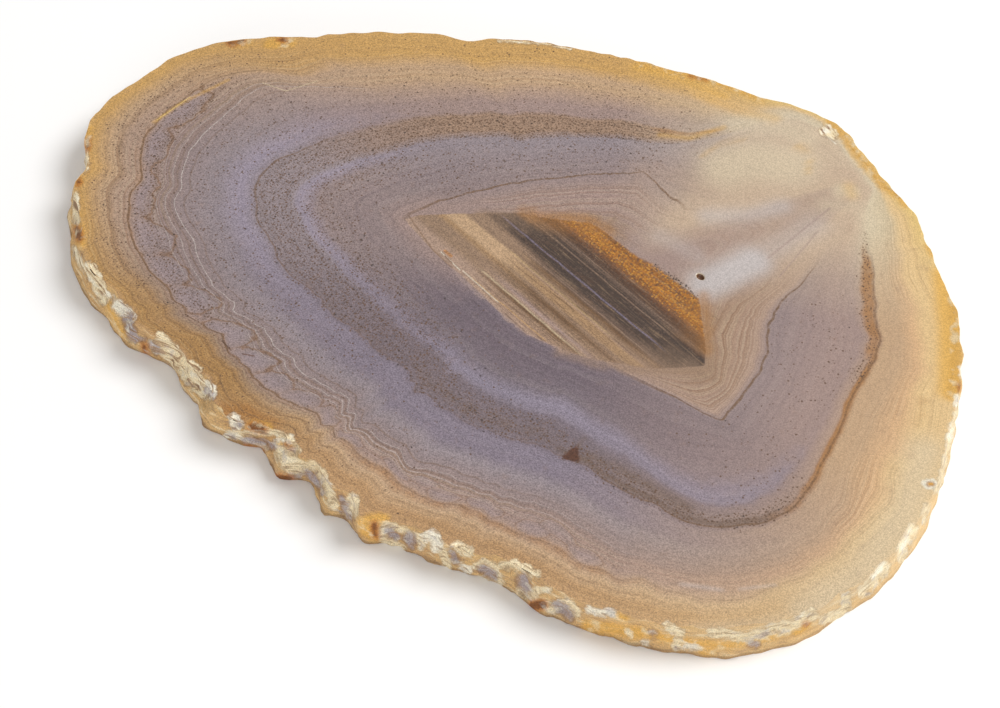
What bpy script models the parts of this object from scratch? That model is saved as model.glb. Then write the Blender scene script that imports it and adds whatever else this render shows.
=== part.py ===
"""An agate slice: one flat, polished slab of banded chalcedony with its natural rind round the edge.

The slab lies on its lower face. +X runs along its longest extent, +Z points up out of the polished
face, and the origin is at the middle of its box on the lower face. Everything is in metres.

The wall is a loft: the same ring of bearings is repeated at several heights, and the radius at
each bearing and height comes from the outline, the slope of the rind, its swellings and the chips
that were broken out of it.
"""

import math
from typing import NamedTuple

import bmesh
import bpy
import numpy as np

MM = 0.001

PIECE_NAME = "agate_slice"

# Slab

THICKNESS = 5.5 * MM
BEARINGS = 360
RING_HEIGHTS_MM = (0.0, 0.5, 1.3, 2.1, 2.9, 3.7, 4.4, 5.0, 5.5)

# Radius of the slab every 15 degrees, counter-clockwise from +X, with no small bumps
STATION_RADII_MM = (
    61.1, 58.7, 54.9, 51.7, 49.2, 43.9,
    40.8, 39.9, 40.8, 43.8, 49.1, 57.2,
    61.4, 59.1, 54.5, 46.0, 43.2, 40.5,
    42.0, 43.4, 48.1, 56.7, 63.0, 63.3,
)

# How far the polished face's edge lies inside the foot of the wall: (bearing, millimetres)
TOP_INSETS_MM = (
    (0, 0.6), (30, 0.0), (175, 0.0), (186, 0.2), (192, 0.6), (198, 1.8), (203, 2.2), (208, 1.2),
    (212, 1.4), (217, 1.8), (223, -0.4), (228, 0.1), (233, 0.3), (238, 1.9), (243, 0.0),
    (248, -0.9), (251, 1.2), (254, 2.6), (257, 1.4), (259, -0.7), (264, 0.3), (271, 0.7),
    (276, -0.2), (285, 0.5), (293, -0.3), (299, 0.6), (302, 1.2), (306, 0.0), (312, 0.6),
    (316, 0.1), (325, 0.9), (334, 0.0), (345, 0.3), (355, 0.3),
)
# How far the rind curls in under the slab at the foot of the wall: (bearing, millimetres)
FOOT_INSETS_MM = (
    (0, 0.0), (20, 0.1), (40, 0.5), (65, 0.2), (95, 0.6), (120, 0.2), (150, 0.5), (175, 0.3),
    (188, 0.0), (196, -0.2), (208, 0.1), (216, -0.1), (220, 0.2), (240, 0.2), (246, 0.0),
    (256, 0.2), (262, -0.1), (288, 0.1), (296, -0.1), (345, -0.1),
)


class Swelling(NamedTuple):
    """A rise (or, when negative, a dip) of the rind that runs the full height of the wall."""

    bearing: float
    half_width_mm: float
    rise_mm: float


class Knob(NamedTuple):
    """A round bump on the wall, centred at a bearing and a height."""

    bearing: float
    height_mm: float
    half_width_mm: float
    half_height_mm: float
    rise_mm: float


class Chip(NamedTuple):
    """A shell-shaped scoop broken out of the wall, centred at a bearing and a height."""

    bearing: float
    height_mm: float
    half_width_mm: float
    half_height_mm: float
    depth_mm: float


SWELLINGS = (
    Swelling(27, 5.0, -0.5),
    Swelling(37, 5.0, 0.7),
    Swelling(56, 4.5, 0.7),
    Swelling(69, 4.0, -0.9),
    Swelling(112, 5.0, 0.3),
    Swelling(125, 2.8, -0.9),
    Swelling(152, 2.5, -0.5),
    Swelling(162, 5.0, 0.5),
    Swelling(175, 4.0, -0.8),
    Swelling(184, 5.0, 0.9),
    Swelling(191.5, 1.6, -0.9),
    Swelling(195.5, 2.8, 1.1),
    Swelling(204, 4.5, 0.5),
    Swelling(218.5, 3.0, 0.8),
    Swelling(224.5, 3.0, -1.2),
    Swelling(234, 1.6, -0.6),
    Swelling(238, 2.2, 0.7),
    Swelling(248, 3.2, -1.4),
    Swelling(255, 1.8, 1.1),
    Swelling(260, 2.2, -1.2),
    Swelling(265.5, 1.3, 0.7),
    Swelling(270, 1.5, -0.6),
    Swelling(273.5, 1.8, 0.5),
    Swelling(280, 2.5, -0.5),
    Swelling(287.5, 2.5, 0.1),
    Swelling(297.5, 3.6, -0.9),
    Swelling(302, 1.5, 0.6),
    Swelling(323, 6.0, 0.6),
    Swelling(335, 3.0, -0.5),
    Swelling(350, 9.0, 0.5),
)

KNOBS = (
    Knob(239.5, 2.6, 2.0, 1.8, 0.7),
    Knob(256.0, 2.6, 2.2, 1.7, 0.8),
    Knob(275.0, 2.8, 1.8, 1.5, 0.5),
    Knob(221.0, 1.0, 1.8, 1.2, 0.4),
    Knob(302.0, 1.0, 1.3, 1.0, 0.4),
    Knob(285.4, 4.6, 1.0, 0.7, 0.3),
    Knob(309.7, 4.6, 1.6, 0.8, 0.3),
    Knob(60.0, 2.2, 4.0, 1.8, 0.4),
    Knob(92.0, 1.8, 5.0, 1.6, 0.5),
    Knob(118.0, 3.2, 3.5, 1.5, 0.4),
    Knob(146.0, 2.0, 4.5, 1.8, 0.5),
    Knob(168.0, 2.8, 3.0, 1.6, 0.4),
)

CHIPS = (
    Chip(199.0, 1.6, 1.4, 1.2, 0.5),
    Chip(212.5, 4.6, 2.2, 1.5, 0.6),
    Chip(217.5, 4.3, 2.0, 1.5, 0.9),
    Chip(220.5, 3.4, 1.2, 1.4, 0.7),
    Chip(231.0, 4.0, 6.6, 2.4, 1.5),
    Chip(244.2, 3.7, 1.0, 0.9, 0.7),
    Chip(248.5, 2.2, 3.4, 0.8, 0.8),
    Chip(256.6, 5.0, 1.1, 0.9, 0.9),
    Chip(263.5, 4.0, 4.0, 2.1, 1.1),
    Chip(270.4, 3.9, 1.8, 1.5, 0.6),
    Chip(280.0, 3.0, 3.0, 1.6, 0.6),
    Chip(290.5, 3.6, 1.8, 1.2, 0.4),
    Chip(294.7, 2.2, 1.6, 1.0, 0.7),
    Chip(299.0, 4.2, 2.0, 1.4, 0.5),
    Chip(304.7, 2.3, 2.2, 1.1, 0.5),
    Chip(318.0, 1.6, 3.0, 1.2, 0.3),
    Chip(340.7, 4.8, 2.0, 1.0, 0.4),
    Chip(346.4, 4.4, 2.4, 1.1, 0.5),
    Chip(2.5, 3.6, 2.6, 1.4, 0.4),
    Chip(46.0, 2.8, 3.0, 1.6, 0.6),
    Chip(77.0, 3.0, 4.0, 1.6, 0.6),
    Chip(105.0, 2.4, 3.2, 1.6, 0.6),
    Chip(132.0, 2.8, 3.6, 1.8, 0.6),
    Chip(157.0, 3.4, 2.6, 1.4, 0.5),
    Chip(180.0, 2.6, 3.0, 1.6, 0.5),
)

# Fine roughness of the rind
ROUGHNESS_SEED = 11
ROUGHNESS_WAVES = 48
ROUGHNESS_RISE = 0.11 * MM
SLOWEST_WAVE, FASTEST_WAVE = 20, 110
TALLEST_TWIST = 2.4

# Finish
CHALCEDONY_COLOUR = (0.36, 0.26, 0.21, 1.0)
POLISH_ROUGHNESS = 0.25
SHARP_EDGE = math.radians(32)


def clear_scene() -> None:
    """Remove every object in the open scene."""
    for old in list(bpy.data.objects):
        bpy.data.objects.remove(old, do_unlink=True)


def outline_radius(bearing: np.ndarray) -> np.ndarray:
    """Smooth radius of the slab, the lowest harmonics that pass through the stations."""
    stations = np.array(STATION_RADII_MM) * MM
    count = len(stations)
    harmonics = np.fft.rfft(stations) / count
    radius = np.full_like(bearing, harmonics[0].real)
    for order in range(1, len(harmonics)):
        weight = 1.0 if 2 * order == count else 2.0
        turn = np.exp(1j * order * bearing)
        radius += weight * (harmonics[order] * turn).real
    return radius


def along_rim(bearing: np.ndarray, centre_deg: float) -> np.ndarray:
    """Signed distance along the rim from a bearing given in degrees."""
    centre = math.radians(centre_deg)
    turn = (bearing - centre + math.pi) % (2 * math.pi) - math.pi
    radius = outline_radius(np.array([centre]))[0]
    return turn * radius


def station_inset(bearing: np.ndarray, stations: tuple) -> np.ndarray:
    """Inset at each bearing, straight between the stations and closed round the rim."""
    places, insets = np.array(stations).T
    return np.interp(np.degrees(bearing) % 360, places, insets * MM, period=360)


def wall_slope(bearing: np.ndarray, height: np.ndarray) -> np.ndarray:
    """How far the wall leans in towards its foot and towards the edge of the polished face."""
    share = height / THICKNESS
    top = station_inset(bearing, TOP_INSETS_MM) * share ** 1.3
    foot = station_inset(bearing, FOOT_INSETS_MM) * (1 - share) ** 2
    return top + foot


def swelling_rise(bearing: np.ndarray) -> np.ndarray:
    """Sum of the rind's full-height swellings, each a bell along the rim."""
    rise = np.zeros_like(bearing)
    for swelling in SWELLINGS:
        reach = along_rim(bearing, swelling.bearing) / (swelling.half_width_mm * MM)
        rise += swelling.rise_mm * MM * np.exp(-reach ** 2)
    return rise


def knob_rise(bearing: np.ndarray, height: np.ndarray) -> np.ndarray:
    """Sum of the round bumps, each a bell along the rim and up the wall."""
    rise = np.zeros_like(bearing)
    for knob in KNOBS:
        reach = along_rim(bearing, knob.bearing) / (knob.half_width_mm * MM)
        climb = (height - knob.height_mm * MM) / (knob.half_height_mm * MM)
        rise += knob.rise_mm * MM * np.exp(-reach ** 2 - climb ** 2)
    return rise


def chip_depth(bearing: np.ndarray, height: np.ndarray) -> np.ndarray:
    """Depth of the deepest scoop at each place, each scoop a bowl with a crisp rim."""
    depth = np.zeros_like(bearing)
    for chip in CHIPS:
        reach = along_rim(bearing, chip.bearing) / (chip.half_width_mm * MM)
        climb = (height - chip.height_mm * MM) / (chip.half_height_mm * MM)
        bowl = np.clip(1 - reach ** 2 - climb ** 2, 0, None)
        depth = np.maximum(depth, chip.depth_mm * MM * np.sqrt(bowl))
    return depth


def fine_roughness(bearing: np.ndarray, height: np.ndarray) -> np.ndarray:
    """Small waves round the rim with seeded phases, each leaning a little as it climbs."""
    draws = np.random.default_rng(ROUGHNESS_SEED)
    relief = np.zeros_like(bearing)
    for _ in range(ROUGHNESS_WAVES):
        order = draws.integers(SLOWEST_WAVE, FASTEST_WAVE)
        twist = draws.uniform(-TALLEST_TWIST, TALLEST_TWIST)
        phase = draws.uniform(0, 2 * math.pi)
        relief += np.sin(order * bearing + twist * height / MM + phase)
    return ROUGHNESS_RISE * relief / math.sqrt(ROUGHNESS_WAVES / 2)


def wall_points() -> np.ndarray:
    """Places of the wall's rings, indexed by height and then by bearing."""
    bearings = np.arange(BEARINGS) * 2 * math.pi / BEARINGS
    heights = np.array(RING_HEIGHTS_MM) * MM
    height, bearing = np.meshgrid(heights, bearings, indexing="ij")
    radius = outline_radius(bearing) - wall_slope(bearing, height)
    radius += swelling_rise(bearing) + knob_rise(bearing, height)
    radius -= chip_depth(bearing, height)
    radius += fine_roughness(bearing, height)
    return np.stack([radius * np.cos(bearing), radius * np.sin(bearing), height], axis=-1)


def centred(points: np.ndarray) -> np.ndarray:
    """The same points, with the middle of their box on the Z axis."""
    low = points[..., :2].min(axis=(0, 1))
    high = points[..., :2].max(axis=(0, 1))
    moved = points.copy()
    moved[..., :2] -= (low + high) / 2
    return moved


def loft(points: np.ndarray) -> bpy.types.Mesh:
    """Closed mesh with a wall between neighbouring rings and a flat face at each end."""
    shape = bmesh.new()
    rings = [[shape.verts.new(point) for point in ring] for ring in points]
    for lower, upper in zip(rings, rings[1:]):
        for i in range(BEARINGS):
            following = (i + 1) % BEARINGS
            shape.faces.new((lower[i], lower[following], upper[following], upper[i]))
    shape.faces.new(reversed(rings[0]))
    shape.faces.new(rings[-1])
    bmesh.ops.triangulate(shape, faces=shape.faces[:])
    mesh = bpy.data.meshes.new(PIECE_NAME)
    shape.to_mesh(mesh)
    shape.free()
    return mesh


def chalcedony() -> bpy.types.Material:
    """Polished banded chalcedony in its mean colour."""
    material = bpy.data.materials.new("chalcedony")
    material.use_nodes = True
    shader = material.node_tree.nodes["Principled BSDF"]
    shader.inputs["Base Color"].default_value = CHALCEDONY_COLOUR
    shader.inputs["Roughness"].default_value = POLISH_ROUGHNESS
    shader.inputs["Metallic"].default_value = 0.0
    return material


def build_slice(collection: bpy.types.Collection) -> bpy.types.Object:
    """The slab itself, smooth along the rind and sharp at the edges of its flat faces."""
    mesh = loft(centred(wall_points()))
    mesh.materials.append(chalcedony())
    mesh.shade_smooth()
    mesh.set_sharp_from_angle(angle=SHARP_EDGE)
    slab = bpy.data.objects.new(PIECE_NAME, mesh)
    collection.objects.link(slab)
    return slab


def main() -> None:
    """Build the slice in a collection of its own."""
    clear_scene()
    collection = bpy.data.collections.new("agate slice")
    bpy.context.scene.collection.children.link(collection)
    build_slice(collection)


main()
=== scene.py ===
"""A polished agate slice on a pale floor, seen as in its photograph.

The slice is one closed surface: a profile from the middle of the polished face, out over the rim,
down the rind and back under the slab, carried round the middle of the banded core. The growth
bands are contours read from the photograph. Every point of the surface knows how deep it
lies between two contours, and the stone's material turns that depth into bands.
"""

import logging
import math
from dataclasses import dataclass, field
from enum import Enum, IntEnum

import bpy
import numpy as np
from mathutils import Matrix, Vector


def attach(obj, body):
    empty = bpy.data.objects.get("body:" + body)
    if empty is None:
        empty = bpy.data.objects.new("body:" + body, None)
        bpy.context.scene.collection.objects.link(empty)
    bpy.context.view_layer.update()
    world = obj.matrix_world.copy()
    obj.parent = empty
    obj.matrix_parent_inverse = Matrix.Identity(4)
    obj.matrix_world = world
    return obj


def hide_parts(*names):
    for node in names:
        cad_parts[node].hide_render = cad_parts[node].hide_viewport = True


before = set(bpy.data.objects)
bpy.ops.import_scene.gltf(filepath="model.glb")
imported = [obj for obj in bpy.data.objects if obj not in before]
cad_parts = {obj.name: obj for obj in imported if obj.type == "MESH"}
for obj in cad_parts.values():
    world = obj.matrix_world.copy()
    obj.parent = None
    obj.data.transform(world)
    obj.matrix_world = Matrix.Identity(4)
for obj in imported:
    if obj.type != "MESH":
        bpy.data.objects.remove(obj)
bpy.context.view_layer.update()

MM = 0.001
LOG = logging.getLogger("agate_slice")

CAD_NODE = "agate_slice"
PIECE_NAME = "polished_agate"
BODY = "root"

Socket = bpy.types.NodeSocket


class Level(IntEnum):
    """Depth levels of the growth bands, from the rim inwards to the middle of the core."""

    RIM = 0
    HONEY = 1
    DRAPE = 2
    PEPPER = 3
    LILAC = 4
    ANGLE = 5
    TAN = 6
    CORE = 7
    MIDDLE = 8


def srgb(code: str) -> tuple[float, float, float, float]:
    """Turns an sRGB hex colour into linear light.

    Args:
        code: Six hex digits, with or without a leading hash.

    Returns:
        Red, green, blue and an alpha of one.
    """
    digits = code.lstrip("#")
    parts = [int(digits[i:i + 2], 16) / 255 for i in (0, 2, 4)]
    linear = [p / 12.92 if p <= 0.04045 else ((p + 0.055) / 1.055) ** 2.4 for p in parts]
    return (*linear, 1.0)


def add_object(name: str, data: bpy.types.ID) -> bpy.types.Object:
    """Makes an object of some data and links it to the scene.

    Args:
        name: The object's name.
        data: Its mesh, camera or lamp.

    Returns:
        The object.
    """
    made = bpy.data.objects.new(name, data)
    bpy.context.scene.collection.objects.link(made)
    return made


def toward(azimuth: float, elevation: float) -> Vector:
    """The direction at an azimuth from the front and an elevation, both in degrees."""
    turn, rise = math.radians(azimuth), math.radians(elevation)
    return Vector((math.sin(turn) * math.cos(rise), -math.cos(turn) * math.cos(rise), math.sin(rise)))


def smooth_step(value: np.ndarray, low: float, high: float) -> np.ndarray:
    """Rises from 0 at low to 1 at high, as three squares less two cubes.

    Args:
        value: The values to grade.
        low: Where the step starts.
        high: Where it ends; below low, the step falls.

    Returns:
        The graded values.
    """
    share = np.clip((value - low) / (high - low), 0.0, 1.0)
    return share * share * (3 - 2 * share)


def round_stations(stations: tuple, directions: np.ndarray, soften: float = 0.0) -> np.ndarray:
    """A closed course through stations: straight between them, then blurred by a bell curve.

    Args:
        stations: (direction in degrees, value) pairs.
        directions: Directions in degrees; where the course is blurred, even ones of a full turn.
        soften: The bell's spread in degrees; 0 leaves the corners.

    Returns:
        The value at each direction.
    """
    table = np.array(stations, float)
    values = np.interp(directions, table[:, 0], table[:, 1], period=360)
    if not soften:
        return values
    step = directions[1] - directions[0]
    # the bell is cut off at three spreads
    reach = max(1, int(round(3 * soften / step)))
    bell = np.exp(-0.5 * (np.arange(-reach, reach + 1) * step / soften) ** 2)
    wrapped = np.concatenate((values[-reach:], values, values[:reach]))
    return np.convolve(wrapped, bell / bell.sum(), "valid")


def bearing_of(off: np.ndarray) -> np.ndarray:
    """The direction of each (x, y) offset, from 0 to 360 degrees."""
    return np.degrees(np.arctan2(off[..., 1], off[..., 0])) % 360


def reach_by_direction(off: np.ndarray, directions: np.ndarray) -> np.ndarray:
    """How far a ring of (x, y) offsets reaches at each direction, straight between them."""
    return np.interp(directions, bearing_of(off), np.hypot(off[:, 0], off[:, 1]), period=360)


def turn_from(middle: float, direction: np.ndarray) -> np.ndarray:
    """The turn from a middle direction to each other one, from -180 to 180 degrees."""
    return (direction - middle + 180) % 360 - 180


def lattice_noise(seed: int, across: np.ndarray, down: np.ndarray,
                  cells: tuple[int, int]) -> np.ndarray:
    """Smooth random heights: a lattice of random numbers, blended between its corners.

    The lattice closes on itself in both directions.

    Args:
        seed: Fixes the random numbers.
        across: Place across the lattice, where 1 is one full round.
        down: Place down the lattice, where 1 is its full height.
        cells: How many lattice cells there are across and down.

    Returns:
        Heights from -1 to 1.
    """
    lattice = np.random.default_rng(seed).uniform(-1, 1, (cells[1], cells[0]))
    u, v = across * cells[0], down * cells[1]
    left, top = np.floor(u).astype(int), np.floor(v).astype(int)
    fu, fv = smooth_step(u - left, 0, 1), smooth_step(v - top, 0, 1)
    left, right = left % cells[0], (left + 1) % cells[0]
    top, bottom = top % cells[1], (top + 1) % cells[1]
    upper = lattice[top, left] * (1 - fu) + lattice[top, right] * fu
    lower = lattice[bottom, left] * (1 - fu) + lattice[bottom, right] * fu
    return upper * (1 - fv) + lower * fv


@dataclass(frozen=True)
class PhotoView:
    """The photograph's camera, worked out from the slice's outline."""

    lens_mm: float = 85.0
    sensor_mm: float = 36.0
    azimuth: float = 28.0
    elevation: float = 52.0
    distance_mm: float = 295.14
    aim_mm: tuple[float, float, float] = (6.045, -13.851, 5.5)
    frame_px: tuple[int, int] = (1000, 708)
    pixels_a_mm: float = 8.0
    clip_m: tuple[float, float] = (0.01, 10.0)

    def focal_px(self) -> float:
        """The focal length in pixels."""
        return self.lens_mm / self.sensor_mm * self.frame_px[0]

    def back(self) -> Vector:
        """The direction from the slice to the camera."""
        return toward(self.azimuth, self.elevation)

    def on_face(self, pixels: tuple) -> np.ndarray:
        """Carries photo pixels on to the polished face.

        The ray of a pixel runs from the eye along forward + across * right + rise * up, and
        meets the face where it has dropped by the eye's height over the face.

        Args:
            pixels: (across, down) pixel pairs.

        Returns:
            One (x, y) row in millimetres for each pixel.
        """
        spot = np.asarray(pixels, float).reshape(-1, 2)
        focal = self.focal_px()
        across = (spot[:, 0] - self.frame_px[0] / 2) / focal
        rise = (self.frame_px[1] / 2 - spot[:, 1]) / focal
        tilt, turn = math.radians(self.elevation), math.radians(self.azimuth)
        reach = self.distance_mm * math.sin(tilt) / (math.sin(tilt) - rise * math.cos(tilt))
        right = reach * across
        away = reach * (math.cos(tilt) + rise * math.sin(tilt)) - self.distance_mm * math.cos(tilt)
        x = self.aim_mm[0] + right * math.cos(turn) - away * math.sin(turn)
        y = self.aim_mm[1] + right * math.sin(turn) + away * math.cos(turn)
        return np.stack((x, y), 1)

    def to_photo(self, points: np.ndarray) -> np.ndarray:
        """Carries points into the photograph.

        A point's steps to the right and up from the eye's axis, over its distance along that
        axis and times the focal length, are its pixels from the middle of the photograph.

        Args:
            points: One (x, y, z) row in millimetres for each point.

        Returns:
            One (across, down) pixel row for each point.
        """
        turn, focal = math.radians(self.azimuth), self.focal_px()
        back = np.array(self.back())
        right = np.array((math.cos(turn), math.sin(turn), 0.0))
        off = points - self.aim_mm - back * self.distance_mm
        away = -(off @ back)
        return np.stack((self.frame_px[0] / 2 + focal * (off @ right) / away,
                         self.frame_px[1] / 2 - focal * (off @ np.cross(back, right)) / away), 1)

    def place_camera(self) -> None:
        """Makes the scene's camera."""
        back = self.back()
        data = bpy.data.cameras.new("photo_camera")
        data.lens, data.sensor_width = self.lens_mm, self.sensor_mm
        data.clip_start, data.clip_end = self.clip_m
        camera = add_object("photo_camera", data)
        camera.location = (Vector(self.aim_mm) + back * self.distance_mm) * MM
        camera.rotation_euler = (-back).to_track_quat("-Z", "Y").to_euler()
        bpy.context.scene.camera = camera


VIEW = PhotoView()
CORE_MIDDLE_PX = (600, 285)
CORE_MIDDLE = VIEW.on_face(CORE_MIDDLE_PX)[0]


class Course(Enum):
    """How a contour turns: the spread in degrees of the bell that rounds it."""

    ANGULAR = 0.35
    WAVY = 0.7
    ROUNDED = 0.9


@dataclass(frozen=True)
class Contour:
    """One growth line: its share of the way from the core's middle to the rim, by direction."""

    course: Course
    stations: tuple[tuple[float, float], ...]

    def radii(self, directions: np.ndarray, rim: np.ndarray) -> np.ndarray:
        """The contour's distance from the core's middle at each direction, in millimetres."""
        return round_stations(self.stations, directions, self.course.value) * rim


# Outer contour on the left and below: a honey or brown line outside the scalloped zone
HONEY_LINE = Contour(Course.WAVY, (
    (0, .905), (4, .89), (9, .918), (13.5, .905), (19, .898), (24, .908), (30, .898), (36, .923),
    (40.5, .93), (45, .94), (50, .96), (54, .983), (78, .983), (80, .965), (82, .94), (86, .913),
    (90, .915), (99, .903), (108, .908), (120, .903), (129, .892), (138, .885), (147, .892),
    (156, .877), (160, .897), (162, .865), (165, .838), (168.5, .885), (172, .895), (176, .899),
    (183, .89), (188, .885), (195, .893), (199, .908), (203, .887), (206.5, .88), (211.8, .893),
    (214.5, .875), (217.2, .875), (219.5, .905), (222.6, .897), (225, .905), (228, .885),
    (231.6, .867), (235, .862), (238, .887), (240, .9), (242, .897), (244, .887), (246, .9),
    (250, .885), (252, .876), (254.5, .885), (258, .857), (261.5, .882), (266, .905), (270, .882),
    (273.3, .872), (278, .895), (283, .91), (287, .887), (289.5, .88), (294, .9), (297.6, .888),
    (298.5, .92), (302, .885), (306.5, .908), (311, .923), (315.5, .936), (319, .918), (325, .92),
    (330, .918), (339, .905), (343.5, .925), (348, .88), (352.5, .915)))
# White thread that drapes over the scallops
WHITE_DRAPE = Contour(Course.WAVY, (
    (0, .82), (10, .845), (20, .84), (28, .845), (36, .87), (42, .89), (48, .925), (53, .972),
    (76.5, .972), (79, .945), (82, .90), (86, .86), (91, .84), (100, .82), (110, .81), (120, .8),
    (130, .79), (140, .78), (150, .775), (158, .77), (163, .785), (166.8, .796), (170, .83),
    (173, .816), (181, .8), (186.6, .796), (191, .811), (196.5, .8), (201, .775), (206.4, .77),
    (208.5, .795), (210.5, .77), (213, .79), (215.4, .765), (219, .796), (223.5, .796),
    (228, .783), (232.5, .757), (236, .765), (238, .79), (240, .815), (245.4, .83), (249, .815),
    (252.6, .798), (256, .813), (260.7, .795), (267, .806), (274, .795), (280.5, .806),
    (288.6, .775), (295.8, .796), (299.4, .826), (303, .82), (307, .84), (315, .855), (322, .865),
    (330, .865), (337, .85), (343, .81), (350, .805)))
# Outer edge of the peppered zone, which is the orange-brown line on the right
PEPPER_EDGE = Contour(Course.WAVY, (
    (0, .736), (5, .752), (11.7, .776), (20.7, .7675), (27, .79), (31.5, .811), (37.8, .82),
    (43, .84), (48, .885), (52.5, .958), (76, .958), (79, .92), (82, .87), (85, .82), (88.2, .78),
    (90, .765), (93.6, .734), (99, .727), (111.6, .714), (120, .689), (130, .684), (140.7, .681),
    (147, .658), (159.6, .65), (162, .632), (168.6, .612), (174, .622), (181.2, .648), (191, .66),
    (196.5, .632), (204.6, .607), (210, .594), (215.4, .592), (218, .617), (221.7, .594),
    (224.4, .602), (229.8, .579), (235.2, .571), (237, .597), (240, .619), (245.4, .632),
    (250, .612), (254.4, .622), (258, .597), (263.4, .615), (270.6, .617), (276, .607),
    (285, .615), (293, .594), (297.6, .627), (303, .645), (307.5, .663), (311, .704),
    (314.7, .729), (321, .747), (328.2, .7675), (334.5, .757), (340, .734), (348, .727),
    (353.4, .726)))
# Middle of the inner lilac band
INNER_LILAC = Contour(Course.ROUNDED, (
    (0, .68), (5, .69), (12, .71), (20, .69), (27, .705), (33, .74), (38, .775), (43, .81),
    (48, .865), (52, .94), (74, .94), (77, .915), (80, .87), (83, .80), (86, .745), (90, .70),
    (95, .66), (100, .645), (110, .625), (120, .60), (130, .575), (140, .56), (150, .555),
    (159.6, .55), (166.8, .52), (170.4, .5176), (175.8, .538), (183, .561), (189.3, .571),
    (194.7, .5355), (201, .49), (206.4, .474), (215.4, .469), (219, .489), (225.3, .4845),
    (232.5, .454), (236, .469), (240, .492), (245, .5), (250.8, .479), (254.4, .4896),
    (258.9, .464), (265.2, .479), (276, .469), (285, .464), (290.4, .469), (297.6, .4896),
    (303, .50), (306.6, .53), (311, .581), (315.6, .6375), (319.2, .663), (324.6, .678),
    (330, .68), (339, .673), (348, .668), (355, .67)))
# Thin dark line that turns in corners round the core
DARK_ANGLE = Contour(Course.ANGULAR, (
    (0, .488), (5.4, .473), (9.9, .472), (15.3, .4845), (21.6, .51), (24.3, .5355), (27.9, .5814),
    (32, .62), (37, .67), (41, .715), (45, .76), (49, .82), (53, .90), (58, .90), (60, .80),
    (62, .68), (65, .55), (68, .47), (72, .425), (76.5, .41), (81.5, .4386), (85.5, .4437),
    (90, .4615), (95.4, .487), (100.4, .515), (106.2, .4845), (112.5, .4666), (120, .4488),
    (125.4, .431), (130.8, .4157), (135.3, .4106), (139, .4157), (143.4, .395), (150.6, .38),
    (158.7, .367), (165, .352), (170.4, .348), (175.8, .357), (183, .372), (186.6, .357),
    (191, .322), (197.4, .29), (203, .275), (210, .272), (220, .267), (229, .265), (235, .272),
    (240, .282), (245.4, .272), (258, .257), (267, .2697), (276, .275), (280, .268),
    (288.6, .253), (296, .25), (303, .258), (308, .272), (316.5, .3086), (321, .3417),
    (324.6, .372), (328.2, .4335), (331.8, .4845), (339, .4717), (348, .4768), (353.4, .482)))
# Tan line next to the core
TAN_LINE = Contour(Course.ANGULAR, (
    (0, .3366), (5, .345), (9, .352), (13.5, .362), (18, .377), (22.5, .413), (27, .459),
    (31.5, .4896), (36, .525), (39.6, .551), (43.2, .5865), (46, .66), (48.5, .76), (51, .85),
    (56, .85), (57.5, .72), (59, .60), (61, .49), (64, .40), (68, .335), (72, .305), (79, .29),
    (90, .306), (97, .316), (107.5, .328), (114, .312), (120, .306), (133.5, .29), (147, .275),
    (157.8, .265), (168.6, .286), (175.8, .316), (183, .368), (186.6, .352), (191, .318),
    (197.4, .286), (203, .271), (210, .268), (220, .263), (229, .261), (235, .268), (240, .278),
    (245.4, .268), (258, .253), (267, .266), (276, .271), (280, .264), (288.6, .248), (296, .244),
    (306.6, .252), (312, .268), (319, .287), (324.6, .318), (330, .355), (335.4, .385),
    (341, .395), (347, .375), (353, .36)))
CONTOURS = (HONEY_LINE, WHITE_DRAPE, PEPPER_EDGE, INNER_LILAC, DARK_ANGLE, TAN_LINE)

# The core's water lines run along a direction 19.8 degrees clockwise from +X
WATER_TURN = math.radians(-19.8)
# Corners of the core's edge on the polished face, read in the photograph
CORE_EDGE_PX = (
    (405, 219), (419, 215), (453, 214), (490, 213), (520, 213), (541, 217), (565, 220), (591, 223),
    (605, 232), (623, 246), (641, 259), (653, 265), (675, 281), (699, 299), (703, 325), (706, 350),
    (705, 366), (680, 368), (650, 369), (621, 364), (593, 359), (564, 350), (527, 334), (499, 311),
    (465, 279), (433, 251), (410, 226))


@dataclass(frozen=True)
class Span:
    """A soft-edged window over directions and depth levels."""

    start: float
    stop: float
    shallow: float
    deep: float
    strength: float
    fade_degrees: float = 5.0
    fade_levels: float = 0.12

    def strength_at(self, direction: np.ndarray, depth: np.ndarray) -> np.ndarray:
        """The window's strength: one step in and one step out, over each of the two.

        Args:
            direction: Directions about the core's middle, in degrees.
            depth: Depth levels.

        Returns:
            Strengths from 0 to the window's own.
        """
        middle, half = (self.start + self.stop) / 2, (self.stop - self.start) / 2
        off = np.abs(turn_from(middle, direction))
        round_it = 1 - smooth_step(off, half - self.fade_degrees, half + self.fade_degrees)
        inwards = smooth_step(depth, self.shallow - self.fade_levels, self.shallow + self.fade_levels)
        outwards = 1 - smooth_step(depth, self.deep - self.fade_levels, self.deep + self.fade_levels)
        return self.strength * round_it * inwards * outwards


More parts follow.
